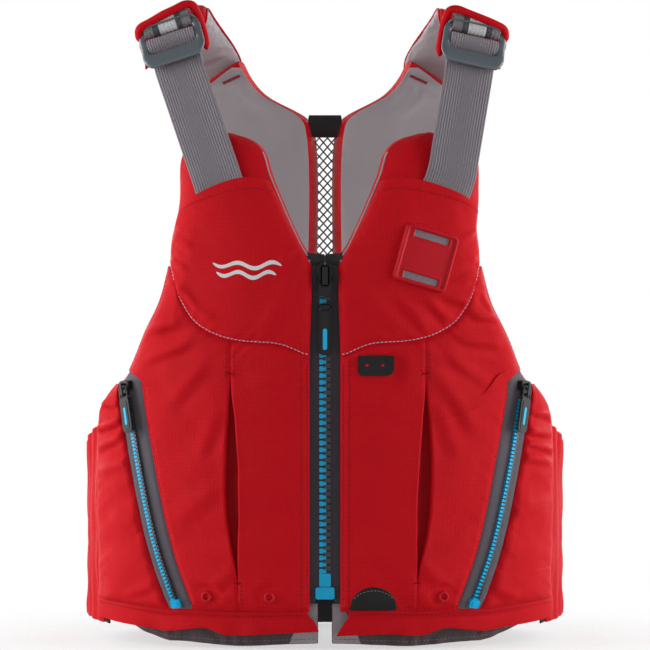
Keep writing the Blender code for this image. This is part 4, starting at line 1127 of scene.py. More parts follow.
def overlay(name, kind, patch, tag, side, u, v, edges, extra):
    """A cloth panel over the cover, extra(x, z, v) giving its own relief in mm. Returns it and its
    outer grid."""
    wide, long = {"yoke": (112, YOKE_TALL), "pocket": (POCKET_WIDE, 200), "side": (50, 170)}[kind]
    x, z = patch.at(u, v)
    lift, off = drop_to_edges(u, v, wide, long, edges)
    out = front_puff(x, z) + SEWN + (OVERLAY - SEWN) * lift
    still = calm(side, x, z)
    out = out + folds(kind, side, x, z) * step(off / 8) * still
    out = out + pucker(off, x + z, 5.0, 0.55, 3 + side) * step(off / 2.0) + extra(x, z, v)
    puffed = bulge_of(MOVES, kind + tag[0], *COARSE[kind], u, v)
    points = front(side, x, z, out) + puffed * still[..., None]
    top, under = thickened(points, OVERLAY_THICK, OUTSIDE["front"])
    return slab(name, top, under, ["red_nylon"], cloth_uv(x, z)), top


def rows_of(top, share, axis, low=0.0, high=1.0, count=400):
    """Points and outward directions along one line of a grid: axis 0 runs along u at v = share,
    axis 1 along v at u = share."""
    t = np.linspace(low, high, count)
    u, v = (t, np.full(count, share)) if axis == 0 else (np.full(count, share), t)
    return cubic(top, u, v), cubic(front_normals(top), u, v)


def chest_yoke(tag, side):
    """Overlay across the chest: sewn down at the sides and foot, open at the top."""
    u, v = unit_grid(120, 130)
    strap_x = STRAP_FOOT[side][0]

    def extra(x, z, v):
        hem = -0.45 * np.exp(-(((1 - v) * YOKE_TALL - YOKE_HEM) / 1.3) ** 2)
        over_strap = 1.6 * np.exp(-((x - strap_x) / 0.022) ** 2) * step((v - 0.6) / 0.4)
        return hem + over_strap + 0.35 * noise(x, z, 0.018, 9 + side)
    made, top = overlay("chest_yoke_cloth_" + tag, "yoke", YOKE, tag, side, u, v,
                        ("near", "far", "foot"), extra)
    body = "front_" + tag
    show(made, body, "chest_yoke_" + tag, slot="red_nylon")
    stitches("yoke_stitching_" + tag, rows_of(top, 0.020, 0, 0.01, 0.99), "lilac_thread", body,
             "grey_webbing", 2.3, 0.9, 0.40)
    stitches("yoke_hem_stitching_" + tag, rows_of(top, 1 - YOKE_HEM / YOKE_TALL, 0, 0.02, 0.98),
             "red_thread", body, "red_nylon")
    return top


def pleat_columns(side, nv):
    """u for each column of a pocket's grid, so that columns follow the pleat's two lips, and how
    far each column sinks, from 0 at the lips to 1 on the pleat's floor."""
    fine_u, fine_v = unit_grid(400, nv)
    x, z = POCKET_FRONT.at(fine_u, fine_v)
    lips = []
    for points in PLEAT[side]:
        off = x - edge(points)(z)
        lips.append(np.array([np.interp(0.0, off[:, j], fine_u[:, j]) for j in range(nv)]))
    near, far = lips
    even = np.linspace(0, 1, PLEAT_COLUMNS)
    ahead, behind = 1 - (1 - even) ** 1.15, even ** 1.15
    inside = np.array([0.06, 0.12, 0.3, 0.5, 0.7, 0.88, 0.94])
    sink = np.array([0.8, 1.0, 1.0, 1.0, 1.0, 1.0, 0.8])
    u = np.vstack([near * t for t in ahead] + [near + (far - near) * t for t in inside]
                  + [far + (1 - far) * t for t in behind])
    depth = np.concatenate([np.zeros(PLEAT_COLUMNS), sink, np.zeros(PLEAT_COLUMNS)])
    gap = (far - near) * POCKET_WIDE
    return u, depth[:, None] * np.clip(gap / 1.2, 0, 1)[None, :]


def lower_pocket(tag, side):
    """Front panel of the lower pocket, with its open pleat. Returns its outer grid, on which the stitching is
    laid.
    """
    nv = 210
    u, sink = pleat_columns(side, nv)
    v = np.broadcast_to(np.linspace(0, 1, nv), u.shape)

    def extra(x, z, v):
        lips = [edge(points)(z) for points in PLEAT[side]]
        beside = np.minimum(np.abs(x - lips[0]), np.abs(x - lips[1])) / MM
        opened = step((z - PLEAT_ENDS[0]) / 0.03) * step((PLEAT_ENDS[1] - z) / 0.03)
        roll = 1.1 * np.exp(-beside / 6.0) * opened
        seam = -0.5 * np.exp(-(beside / 1.6) ** 2) * (1 - opened)
        return -PLEAT_DEPTH * sink + (roll + seam) * (1 - sink) + 0.35 * noise(x, z, 0.022, 15 + side)
    made, top = overlay("pocket_front_cloth_" + tag, "pocket", POCKET_FRONT, tag, side, u, v,
                        ("near", "far", "foot", "top"), extra)
    # The pleat's floor faces take the half-dark red: painted shade in the pleat.
    made.data.materials.append(MATERIALS["red_painted_shade"])
    paint(made, (sink[:-1, :-1] + sink[1:, :-1] + sink[1:, 1:] + sink[:-1, 1:]) > 2.6)
    show(made, "front_" + tag, "pocket_front_" + tag, slot="red_nylon")
    return top


def side_pocket(tag, side):
    """Side panel of the lower pocket, from its zip to the side seam."""
    made = overlay("pocket_side_cloth_" + tag, "side", POCKET_SIDE, tag, side, *unit_grid(60, 170),
                   ("near", "far", "foot"), lambda x, z, v: 0.4 * noise(x, z, 0.016, 21 + side))[0]
    show(made, "front_" + tag, "pocket_side_" + tag, slot="red_nylon")


# ---- placing of the fittings ---------------------------------------------------------------------
def spot(side, x, z, out=0.0):
    """A point out millimetres over the front's own face."""
    return Vector(front(side, x, z, front_puff(np.float64(x), np.float64(z)) + out))


def pocket_zip_point(side, z, out):
    return spot(side, float(POCKET_X(z)), z, out)


def pocket_frame(side, z, out=0.0):
    """Placing matrix on a pocket zip: x across it, y out of it, z up along it."""
    at = pocket_zip_point(side, z, out)
    below = pocket_zip_point(side, z - 0.02, out)
    outward = (pocket_zip_point(side, z, out + 1.0) - at).normalized()
    up = (at - below).normalized()
    return placing(at, outward.cross(up), up)


def strap_foot(side):
    x, z = STRAP_FOOT[side]
    return Vector(plain_front(side, x, z, front_puff(np.float64(x), np.float64(z)) + 5.0))


def strap_frame(side):
    """The ladder-lock's placing matrix: x across the strap, y down it and z into the jacket."""
    x, y, z = BUCKLE_AT[side]
    at = Vector((side * x, y, z))
    down = (strap_foot(side) - at).normalized()
    level = Vector((1, side * math.tan(STRAP_YAW), 0))
    across = (level - down * level.dot(down)).normalized()
    turn = Matrix((across, down, across.cross(down))).transposed().to_4x4()
    return Matrix.Translation(at) @ turn


def front_y(out):
    return DEPTH_SHIFT - HALF_DEPTH - out * MM


def moved(points, place):
    """Points put in place by a matrix."""
    m = np.array(place)
    return points @ m[:3, :3].T + m[:3, 3]


# ---- hems, piping and stitching of the front ------------------------------------------------------
HEM_NEAR = {
    -1: [(0.0055, 0.0130), (0.0090, 0.0205), (0.0140, 0.0265), (0.0122, 0.0330)],
    1: [(0.0095, 0.0095), (0.0150, 0.0180), (0.0195, 0.0262), (0.0122, 0.0330)]}
HEM_FOOT = [
    (0.0480, 0.0108), (0.0800, 0.0100), (0.0960, 0.0148), (0.1230, 0.0122), (0.1520, 0.0110),
    (0.1720, 0.0098), (0.1830, 0.0100)]
FACING_FOOT = [
    (0.0060, 0.0030), (0.0300, 0.0022), (0.0700, 0.0006), (0.1120, 0.0030), (0.1520, 0.0044),
    (0.1720, 0.0085), (0.1825, 0.0110)]


def hems(tag, side):
    """The red hem band, and the facing that shows under it."""
    patch = Patch([HEM_NEAR[side][0]] + HEM_FOOT, [(0.0122, 0.0330), (0.1830, 0.0330)],
                  HEM_NEAR[side], [(0.1830, 0.0100), (0.1830, 0.0330)])
    u, v = unit_grid(220, 18)
    x, z = patch.at(u, v)
    ripple = 1.0 * noise(x, z * 0.4, 0.013, 51 + side) * (1 - v)
    out = front_puff(x, np.maximum(z, 0.0235)) + 1.4 + ripple + 0.9 * step((1 - v) * 3) * np.sin(v * 3)
    points = front(side, x, z, out)
    top, under = thickened(points, 1.3, OUTSIDE["front"])
    made = slab("hem_band_" + tag, top, under, ["red_nylon"], cloth_uv(x, z),
                ((0.2, 0.35), (0.5, 0.5), (0.8, 0.35)))
    show(made, "front_" + tag, slot="red_nylon")
    for share in (0.80, 0.66):
        stitches("hem_stitching_%d_%s" % (share * 100, tag), rows_of(top, share, 0, 0.02, 0.99, 900),
                 "red_thread", "front_" + tag, "red_nylon")
    patch = Patch(FACING_FOOT, [(0.0060, 0.0340), (0.1825, 0.0340)], [(0.0060, 0.0030), (0.0060, 0.0340)],
                  [(0.1825, 0.0110), (0.1825, 0.0340)])
    u, v = unit_grid(240, 26)
    x, z = patch.at(u, v)
    gather = noise(x, z * 0.5, 0.011, 61 + side) + 0.6 * noise(x, z, 0.005, 63)
    points = front(side, x, z, -13.0 + 1.5 * gather * (1 - 0.5 * v) - 1.5 * (1 - v) ** 2)
    top, under = thickened(points, 1.0, OUTSIDE["front"])
    grey = x < 0.030 - 0.5 * z
    made = slab("hem_facing_cloth_" + tag, top, under, ["taupe_nylon", "grey_lining"], cloth_uv(x, z))
    paint(made, grey[:-1, :-1])
    show(made, "front_" + tag, "hem_facing_" + tag, slot="taupe_nylon")
    stitches("facing_stitching_" + tag, rows_of(top, 0.10, 0, 0.01, 0.99, 900), "grey_thread",
             "front_" + tag, "taupe_nylon")


def neck_piping(tag, side):
    """Thin grey piping where the cover meets the lining along the neckline."""
    z = np.linspace(0.3030, 0.3905, 140)
    x = NEAR_EDGE(z) + 0.0006
    points, faces = tube(front(side, x, z, front_puff(x, z) + 0.2), 0.85 * MM)
    made = piece("neck_piping_" + tag, points, faces, "grey_lining", uv=np.zeros((len(points), 2)))
    show(made, "front_" + tag, slot="grey_lining")


def bar_tack(name, start, end, out, body, wide):
    """A short dense row of red stitches across a line, to hold a seam's end."""
    along = (end - start) / np.linalg.norm(end - start)
    across = np.cross(along, out)
    across /= np.linalg.norm(across)
    count = max(4, int(np.linalg.norm(end - start) / (0.55 * MM)))
    parts = []
    for k in range(count):
        at = start + (end - start) * (k + 0.5) / count
        ends = [at - across * wide / 2 * MM - out * 0.2 * MM, at + out * 0.35 * MM,
                at + across * wide / 2 * MM - out * 0.2 * MM]
        parts.append(tube(through(ends)(np.linspace(0, 1, 5)), 0.27 * MM, 5))
    show(piece(name, *merged(parts), "red_thread"), body, slot="red_nylon")


def pocket_stitching(tag, top):
    """Stitch rows along the pocket's edges and above its pleat, and the bar tacks at its ends."""
    body = "front_" + tag
    for name, share in (("zip", 1 - 1.6 / POCKET_WIDE), ("centre_a", 1.8 / POCKET_WIDE),
                        ("centre_b", 5.2 / POCKET_WIDE)):
        stitches("pocket_stitching_%s_%s" % (name, tag), rows_of(top, share, 1, 0.01, 0.985, 600),
                 "red_thread", body, "red_nylon")
    n, z = front_normals(top), top[..., 2]
    near, far = PLEAT_COLUMNS - 5, PLEAT_COLUMNS + 11
    for name, column, low, high in (
            ("lip_a", near, 0.0, PLEAT_ENDS[0]), ("above_a", near, PLEAT_ENDS[1], 0.235),
            ("above_b", far, PLEAT_ENDS[1], 0.235)):
        keep = (z[column] > low) & (z[column] < high)
        stitches("pleat_stitching_%s_%s" % (name, tag), (top[column][keep], n[column][keep]),
                 "red_thread", body, "red_nylon")
    for name, height in (("low", PLEAT_ENDS[0]), ("high", PLEAT_ENDS[1] + 0.003)):
        j = int(np.argmin(np.abs(z[PLEAT_COLUMNS] - height)))
        bar_tack("pleat_tack_%s_%s" % (name, tag), top[near, j], top[far, j], n[PLEAT_COLUMNS, j], body,
                 1.6)


PRINT_LIFT = 0.16            # how far the print lies over the cloth, in mm


def chest_mark(top):
    """Two pale printed waves on the wearer's right breast."""
    n = front_normals(top)
    parts = []
    for k, (start, end) in enumerate(((0.17, 0.57), (0.20, 0.54))):
        t = np.linspace(0, 1, 90)
        u = start + (end - start) * t
        v = 0.455 - 0.055 * k + 0.016 * np.sin(t * 4 * math.pi)
        half = 0.012 * np.sqrt(np.clip(1 - (2 * t - 1) ** 8, 0.02, 1))
        lines = [cubic(top, u, v + half * s) + cubic(n, u, v + half * s) * PRINT_LIFT * MM
                 for s in (-1, -0.4, 0.4, 1)]
        parts.append((np.stack(lines, 1).reshape(-1, 3), [list(f) for f in quads(90, 4)]))
    show(piece("chest_mark", *merged(parts), "pale_print"), "front_right", slot="grey_webbing")


# ---- zips ----------------------------------------------------------------------------------------
def tooth(leg, head, pitch, depth):
    """One moulded tooth: its leg towards -x, its head just past the middle; y is out of the zip."""
    a, b = pitch * 0.37, pitch * 0.20
    lower = [(-leg, -a), (-leg * 0.30, -a), (-leg * 0.12, -b), (head * 0.15, -b * 1.1),
             (head * 0.55, -a * 1.05), (head, -a * 0.6)]
    made = Solid()
    made.prism(lower + [(x, -z) for x, z in reversed(lower)], -depth / 2, depth / 2,
               min(0.00035, pitch * 0.07))
    return made.parts[0]


def tooth_row(name, shape, places, finish, body, node, slot):
    points, faces = shape
    parts = [(moved(points, place), faces) for place in places]
    made = piece(name, *merged(parts), finish)
    made.data.set_sharp_from_angle(angle=math.radians(35))
    show(made, body, *([node] if node else []), slot=slot)


def tape_strip(name, points, body, node, finish):
    """Zip tape over a grid of points, across first and then along."""
    top, under = thickened(points, 0.7, OUTSIDE["front"])
    wide = np.linalg.norm(points[-1, -1] - points[0, -1])
    along = distances(points[0])
    made = slab(name, top, under, [finish], flat_uv(np.linspace(0, wide, len(points)), along))
    show(made, body, node, slot="zip_tape")


# Zips: where tapes and teeth start and end, up the jacket and across, and the teeth's pitch.
POCKET_TAPE_Z, POCKET_TAPE_OFF = (0.0300, 0.2195), (-0.0135, 0.0094)
POCKET_CHAIN_Z, POCKET_CHAIN_OUT, POCKET_PITCH = (0.0340, 0.1960), 3.9, 0.0030
CENTRE_CHAIN_Z, CENTRE_PITCH = (0.0600, 0.2790), 0.0053
CENTRE_TAPE_FAR, CENTRE_TAPE_NEAR, CENTRE_TAPE_AT_BOX = 0.0165, 0.0005, 0.0079


def pocket_zip(tag, side):
    """Tape, teeth, end stop, slider and puller of a pocket zip, laid along its curve."""
    body = "front_" + tag
    z = np.linspace(*POCKET_TAPE_Z, 160)
    offs = np.linspace(*POCKET_TAPE_OFF, 24)[:, None]
    x = POCKET_X(z)[None, :] + offs * (1 - 0.60 * (offs > 0) * step((z - 0.2000) / 0.0180))
    zz = np.broadcast_to(z, x.shape)
    drop = 1.5 * (np.maximum(np.maximum(offs - 0.0038, -offs - 0.0065), 0) / 0.0056) ** 3
    points = front(side, x, zz, front_puff(x, zz) + 2.3 - drop)
    tape_strip("pocket_tape_" + tag, points, body, "pocket_zip_tape_" + tag, "zip_tape")
    shape = tooth(0.0027, 0.0008, POCKET_PITCH, 0.0023)
    heights = np.linspace(*POCKET_CHAIN_Z, 200)
    along = distances(np.array([pocket_zip_point(side, t, POCKET_CHAIN_OUT) for t in heights]))
    turned = Matrix.Rotation(math.pi, 4, "Y")
    for row, start, finish, node in (("a", 0.0008, "blue_plastic", "pocket_zip_teeth_" + tag),
                                     ("b", 0.0023, "dark_plastic", None)):
        places = []
        for d in np.arange(start, along[-1], POCKET_PITCH):
            place = pocket_frame(side, float(np.interp(d, along, heights)), POCKET_CHAIN_OUT)
            turn = Matrix.Identity(4) if row == "a" else turned
            places.append(place @ (turn if place.col[0].x > 0 else turned @ turn))
        tooth_row("pocket_teeth_%s_%s" % (row, tag), shape, places, finish, body, node, "blue_plastic")
    stop = Solid()
    place = pocket_frame(side, 0.0345, 2.0)
    stop.prism(round_box(0.0082, 0.0070, 0.0012), 0.0, 0.0036, 0.0005, place)
    stop.prism(round_box(0.0046, 0.0040, 0.0009), 0.0034, 0.0042, 0.0003, place)
    show(stop.done("pocket_zip_stop_" + tag, ["blue_plastic"]), body, slot="blue_plastic")
    place = pocket_frame(side, POCKET_SLIDER_Z, 0.0)
    face = POCKET_SLIDER_FACE
    made = Solid()
    shield = both_halves([(0.0034, -0.0072), (0.0044, -0.0060), (0.0047, -0.0010), (0.0053, 0.0040),
                          (0.0050, 0.0066), (0.0030, 0.0074)])
    made.prism(shield, face, face + 0.0012, 0.0004, place)
    made.prism(shield, 0.0019, 0.0026, 0.0003, place)
    for low, high in ((-0.0053, -0.0042), (0.0042, 0.0053)):
        made.box((low, 0.0022, -0.0010), (high, face + 0.0006, 0.0060), 0.0003, place)
    for out, foot, top, head in ((0.0006, -0.0050, 0.0050, -0.0032), (0.0006, 0.0032, 0.0050, 0.0050),
                                 (0.0041, -0.0050, 0.0055, 0.0050)):
        made.box((-0.0016, face + out, foot), (0.0016, face + top, head), 0.0005, place)
    show(made.done("pocket_slider_body_" + tag, ["black_plastic"]), "pocket_slider_" + tag,
         "pocket_slider_" + tag, slot="black_plastic")
    pull = Solid()
    low, high = face + 0.0021, face + 0.0033
    for left, right, foot, top in ((-0.0048, 0.0048, 0.0002, 0.0018), (-0.0048, -0.0029, -0.0080, 0.0014),
                                   (0.0029, 0.0048, -0.0080, 0.0014)):
        pull.box((left, low, foot), (right, high, top), 0.0005, place)
    for shape, z, back_, face_, bevel, share in (
            ((0.0104, 0.0280, 0.0030), -0.0205, low - 0.0003, high + 0.0003, 0.0006, 0),
            ((0.0062, 0.0235, 0.0018), -0.0205, high + 0.0001, high + 0.0007, 0.0003, 0),
            ((0.0024, 0.0140, 0.0011), -0.0215, high + 0.0004, high + 0.0010, 0.0002, 1)):
        pull.prism(shifted(round_box(*shape), z), back_, face_, bevel, place, share)
    show(pull.done("pocket_pull_" + tag, ["black_plastic", "blue_plastic"]), "pocket_puller_" + tag,
         "pocket_puller_" + tag, slot="black_plastic")


def centre_zip(tag, side):
    """Tape and teeth on one side of the centre zip."""
    z = np.linspace(ZIP_FOOT, ZIP_HEAD, 160)
    near = np.where(z < BOX_Z[1], CENTRE_TAPE_AT_BOX, CENTRE_TAPE_NEAR)[None, :]
    x = near + (CENTRE_TAPE_FAR - near) * np.linspace(0, 1, 12)[:, None]
    zz = np.broadcast_to(z, x.shape)
    points = front(side, x, zz, CENTRE_TAPE + 0.15 * noise(x, zz, 0.02, 71))
    tape_strip("centre_tape_" + tag, points, "front_" + tag, "centre_zip_tape_" + tag, "centre_tape")
    shape = tooth(0.0046, 0.0011, CENTRE_PITCH, 0.0030)
    places = []
    low, high = CENTRE_CHAIN_Z
    for height in np.arange(low + (CENTRE_PITCH / 2 if side > 0 else 0.0), high, CENTRE_PITCH):
        place = Matrix.Translation((0, front_y(-5.5), height))
        places.append(place if side < 0 else place @ Matrix.Rotation(math.pi, 4, "Z"))
    tooth_row("centre_teeth_" + tag, shape, places, "blue_plastic" if side < 0 else "dark_plastic",
              "front_" + tag, "centre_zip_teeth_" + tag, "blue_plastic" if side < 0 else "black_plastic")


def centre_fittings():
    """Slider, puller, pull tab, retainer box and pin."""
    at = Matrix.Translation((0, front_y(0), 0)) @ Matrix.Scale(-1, 4, (0, 1, 0))
    body = Solid()
    low, high = SLIDER_Z
    shield = both_halves([
        (0.0046, low), (0.0058, low + 0.002), (0.0062, low + 0.012), (0.0072, high - 0.006),
        (0.0066, high - 0.0015), (0.0040, high), (0.0012, high - 0.0015)])
    body.prism(shield, -0.0034, -0.0017, 0.0005, at)
    body.prism(shield, -0.0091, -0.0076, 0.0005, at)
    body.box((-0.0009, -0.0080, high - 0.0090), (0.0009, -0.0026, high - 0.0012), 0.0003, at)
    for left, right in ((-0.0070, -0.0056), (0.0056, 0.0070)):
        body.box((left, -0.0086, low + 0.010), (right, -0.0022, high - 0.004), 0.0004, at)
    for under, foot, out, top in ((-0.0022, 0.2838, 0.0036, 0.2872), (-0.0022, 0.2965, 0.0036, 0.3000),
                                  (0.0020, 0.2838, 0.0038, 0.3000)):
        body.box((-0.0032, under, foot), (0.0032, out, top), 0.0010, at)
    show(body.done("centre_slider_body", ["black_plastic"]), "main_slider", "main_slider",
         slot="black_plastic")
    link = Solid()
    z1, z0 = BAR_Z, BAR_Z - LINK_DROP
    a, b = (BAR_D - 0.75) * MM, (BAR_D + 0.75) * MM
    for left, right, foot, top in (
            (-0.0058, 0.0058, z1 - 0.00125, z1 + 0.00125), (-0.0058, 0.0058, z0 - 0.00125, z0 + 0.00125),
            (-0.0058, -0.0042, z0 - 0.0008, z1 + 0.0008), (0.0042, 0.0058, z0 - 0.0008, z1 + 0.0008)):
        link.box((left, a, foot), (right, b, top), 0.0006, at)
    link.prism(shifted(round_box(0.0100, 0.0110, 0.0022), z1 - 0.0085), a - 0.0002, b + 0.0002, 0.0005, at)
    show(link.done("centre_pull_link", ["black_plastic"]), "main_puller", "main_puller",
         slot="black_plastic")
    tab = Solid()
    foot = PULL_TAB_FOOT
    points, faces = tube([(-0.0036, -BAR_D * MM, z0), (0.0036, -BAR_D * MM, z0)], 0.0030, 16)
    tab.add(moved(points, Matrix.Translation((0, front_y(0), 0))), faces)
    middle, tall = (z0 - 0.0016 + foot) / 2, z0 - 0.0016 - foot
    a, b = (BAR_D - 1.1) * MM, (BAR_D + 1.1) * MM
    tab.prism(shifted(round_box(0.0100, tall, 0.0034), middle), a, b, 0.0006, at)
    tab.prism(shifted(round_box(0.0070, tall - 0.004, 0.0024), middle), b - 0.0003, b + 0.0005, 0.0003, at)
    tab.prism(shifted(round_box(0.0034, 0.0165, 0.0012), foot + 0.0125), b + 0.0002, b + 0.0009, 0.0002,
              at, share=1)
    show(tab.done("centre_pull_tab", ["black_plastic", "blue_plastic"]), "main_pull_tab",
         "main_pull_tab", slot="black_plastic")
    box = Solid()
    middle, (inner, outer) = sum(BOX_Z) / 2, BOX_D
    box.prism(shifted(round_box(2 * BOX_HALF, BOX_Z[1] - BOX_Z[0], 0.0016), middle), inner * MM,
              outer * MM, 0.0007, at)
    box.prism(shifted(round_box(0.0092, 0.0052, 0.0012), middle), outer * MM - 0.0003,
              outer * MM + 0.0004, 0.0003, at)
    show(box.done("zip_box", ["blue_plastic"]), "front_right", "zip_retainer_box", slot="blue_plastic")
    pin = Solid()
    foot = BOX_Z[1] + 0.0003
    pin.prism(shifted(round_box(0.0092, PIN_TOP - foot, 0.0010), (PIN_TOP + foot) / 2),
              CENTRE_CHAIN[0] * MM, CENTRE_CHAIN[1] * MM, 0.0006, at)
    show(pin.done("zip_insert_pin", ["blue_plastic"]), "front_left", "zip_pin", slot="blue_plastic")
    cap = Patch([(0.0008, 0.3005), (0.0125, 0.3005)], [(0.0008, 0.3085), (0.0152, 0.3100)],
                [(0.0008, 0.3005), (0.0008, 0.3085)], [(0.0125, 0.3005), (0.0152, 0.3100)])
    for tag, side in SIDES.items():
        u, v = unit_grid(16, 12)
        x, z = cap.at(u, v)
        points = front(side, x, z, -5.2 + 2.4 * np.sin(v * math.pi) - 3.0 * (1 - u))
        top, under = thickened(points, 1.6, OUTSIDE["front"])
        made = slab("zip_head_binding_" + tag, top, under, ["black_webbing"], cloth_uv(x, z))
        show(made, "front_" + tag, slot="black_webbing")


# ---- things sewn on the front --------------------------------------------------------------------
def lash_tab():
    """Moulded tab with a raised border and two slots that show the cloth behind."""
    x, z = LASH_AT
    middle = np.array(spot(1, x, z, 0.0))
    out = np.array(front(1, x, z, 10.0) - front(1, x, z, 0.0)) / 0.010
    level = front(1, x + 0.02, z, 0.0) - front(1, x - 0.02, z, 0.0)
    level = level / np.linalg.norm(level)
    up = np.cross(out, level)
    up = up if up[2] > 0 else -up
    c, s = math.cos(LASH_TURN), math.sin(LASH_TURN)
    wide, high = LASH_SIZE
    slot_wide, slot_high = LASH_SLOT
    beside = [sign * slot_wide / 2 + off for sign in (-1, 1) for off in (-0.0002, 0.0002)]
    columns = np.unique(np.concatenate([np.linspace(-1, 1, 61), np.array(beside) * 2 / wide]))
    beside = [middle_ + sign * slot_high / 2 + off for middle_ in LASH_SLOTS for sign in (-1, 1)
              for off in (-0.0002, 0.0002)]
    rows = np.unique(np.concatenate([np.linspace(-1, 1, 61), np.array(beside) * 2 / high]))
    a, b = np.meshgrid(columns * wide / 2, rows * high / 2, indexing="ij")
    radius = LASH_CORNER
    qa, qb = np.abs(a) - (wide / 2 - radius), np.abs(b) - (high / 2 - radius)
    corner = (qa > 0) & (qb > 0)
    scale = np.where(corner, np.maximum(qa, qb) / np.maximum(1e-9, np.hypot(qa, qb)), 1)
    pa = np.where(corner, np.sign(a) * (wide / 2 - radius + qa * scale), a)
    pb = np.where(corner, np.sign(b) * (high / 2 - radius + qb * scale), b)
    qa, qb = np.abs(pa) - (wide / 2 - radius), np.abs(pb) - (high / 2 - radius)
    edge_off = (radius - np.hypot(np.maximum(qa, 0), np.maximum(qb, 0))
                - np.minimum(0, np.maximum(qa, qb))) / MM
    border = np.exp(-((edge_off - 1.9) / 1.35) ** 4)
    lift = 6.6 + 1.6 * border - 1.3 * np.clip(1 - edge_off / 0.9, 0, 1) ** 2
    inside = np.zeros_like(a)
    for middle_ in LASH_SLOTS:
        gap = np.maximum(np.abs(pa) - slot_wide / 2, np.abs(pb - middle_) - slot_high / 2) / MM
        inside = np.maximum(inside, np.clip(0.5 - gap / 0.4, 0, 1))
        lift = lift + 0.55 * np.exp(-((gap - 1.0) / 0.7) ** 2)
    lift = lift * (1 - inside) + 5.7 * inside
    spots = middle + level * (pa * c - pb * s)[..., None] + up * (pa * s + pb * c)[..., None]
    curve_x = np.abs(spots[..., 0])
    base = front(1, curve_x, spots[..., 2], front_puff(curve_x, spots[..., 2]))
    top = base + out * (lift * MM)[..., None]
    under = base + out * (4.4 * MM)
    made = slab("lash_tab_moulding", top, under, ["red_rubber", "grey_webbing"], np.stack([a, b], -1))
    paint(made, (inside[:-1, :-1] + inside[1:, 1:] + inside[1:, :-1] + inside[:-1, 1:]) > 3.9)
    show(made, "front_left", "lash_tab", slot="red_rubber")


def badges():
    """Rubber tab, half-round patch and drain eyelets."""
    body = Solid()
    x, z = TAB_AT
    at, right = spot(1, x, z, 4.9), spot(1, x + 0.01, z, 4.9) - spot(1, x - 0.01, z, 4.9)
    place = placing(at, right, (0, 0, 1))
    place = place @ Matrix.Scale(1 if place.col[1].y < 0 else -1, 4, (0, 1, 0))

    def corner(x, z, radius, start, end, steps):
        return [(x + radius * math.cos(t), z + radius * math.sin(t)) for t in np.linspace(start, end, steps)]
    outline = [(-TAB_HALF, 0.0085)] + corner(-0.0110, -0.0042, 0.0032, math.pi, 1.5 * math.pi, 6)
    outline += corner(0.0080, -0.0012, 0.0062, -math.pi / 2, 0, 9) + [(TAB_HALF, 0.0085)]
    body.prism(outline, 0.0004, 0.0022, 0.0006, place)
    for offset in (-0.0072, 0.0052):
        ring, faces = tube([(offset, 0.0015, 0.0008), (offset, 0.0023, 0.0008)], [0.0013, 0.0011], 20)
        body.add(moved(ring, place), faces, 1)
    show(body.done("side_release_tab", ["black_rubber", "red_rubber"]), "front_left", "rubber_tab",
         slot="black_rubber")

    u, v = unit_grid(60, 24)
    x = PATCH_X + PATCH_WIDE * u
    rise = np.sqrt(np.clip(1 - ((u - 0.5) * 2) ** 2, 0, 1))
    z = PATCH_FOOT + (0.0020 + PATCH_TALL * rise) * v
    face = front_puff(x, np.maximum(z, 0.0300))
    top = front(1, x, z, face + 5.9 + 0.2 * noise(x, z, 0.006, 81))
    inward = np.minimum(np.minimum(u, 1 - u) * PATCH_WIDE, np.minimum(v, 1 - v) * PATCH_TALL) / MM
    top[..., 1] += 0.5 * MM * np.clip(1 - inward, 0, 1) ** 2
    under = front(1, x, z, face + 4.4)
    made = slab("half_round_patch", top, under, ["black_rubber"], np.stack([x, z], -1))
    show(made, "front_left", "key_patch", slot="black_webbing")
    stitches("patch_stitching", rows_of(top, 0.86, 0, 0.08, 0.92, 200), "grey_thread", "front_left",
             "black_webbing", 2.0, 0.9, 0.25)

    profile = [(0.0018, -0.0012), (0.0022, 0.0004), (0.0029, 0.0010), (0.0036, 0.0010),
               (0.0043, 0.0004), (0.0045, -0.0006)]
    count = 32
    turn = np.linspace(0, 2 * math.pi, count, endpoint=False)
    grid = np.array([[(r * math.cos(t), r * math.sin(t), h) for t in turn] for r, h in profile])
    faces = [[k * count + i, k * count + (i + 1) % count, (k + 1) * count + (i + 1) % count,
              (k + 1) * count + i] for k in range(len(profile) - 1) for i in range(count)]
    for name, (side, x) in EYELETS.items():
        at = spot(side, x, EYELET_Z, 5.4)
        axis = (spot(side, x, EYELET_Z, 15.0) - at).normalized()
        place = Matrix.Translation(at) @ axis.to_track_quat("Z", "Y").to_matrix().to_4x4()
        ring = Solid()
        ring.add(moved(grid.reshape(-1, 3), place), faces, 0)
        ring.add(moved(grid[0] * (1, 1, 0) + (0, 0, -0.0012), place), [list(range(count))], 1)
        show(ring.done("eyelet_ring_" + name, ["red_rubber", "black_rubber"]),
             "front_left" if side > 0 else "front_right", "drain_eyelet_" + name, slot="grey_plastic")


# ---- webbing and shoulders -----------------------------------------------------------------------
def ribbon(name, path, across, finish, ribs, low=0.0, high=1.0, count=260):
    """Webbing along a path, its ribs running lengthwise; low and high cut it short. Gives it and
    its length."""
    line = through(path)(np.linspace(low, high, count))
    along = np.gradient(line, axis=0)
    along /= np.linalg.norm(along, axis=1)[:, None]
    side = across - along * (along @ across)[:, None]
    side /= np.linalg.norm(side, axis=1)[:, None]
    normal = np.cross(side, along)
    a = np.linspace(-0.5, 0.5, ribs * 4 + 1)
    relief = 0.22 * MM * np.cos(a * ribs * 2 * math.pi) - 0.35 * MM * np.abs(2 * a) ** 16
    base = line[None] + side[None] * (a * WEBBING)[:, None, None]
    lift = normal[None] * (WEB_THICK / 2 + relief)[:, None, None]
    length = distances(line)
    return slab(name, base + lift, base - lift, [finish], flat_uv((a + 0.5) * WEBBING, length)), length[-1]


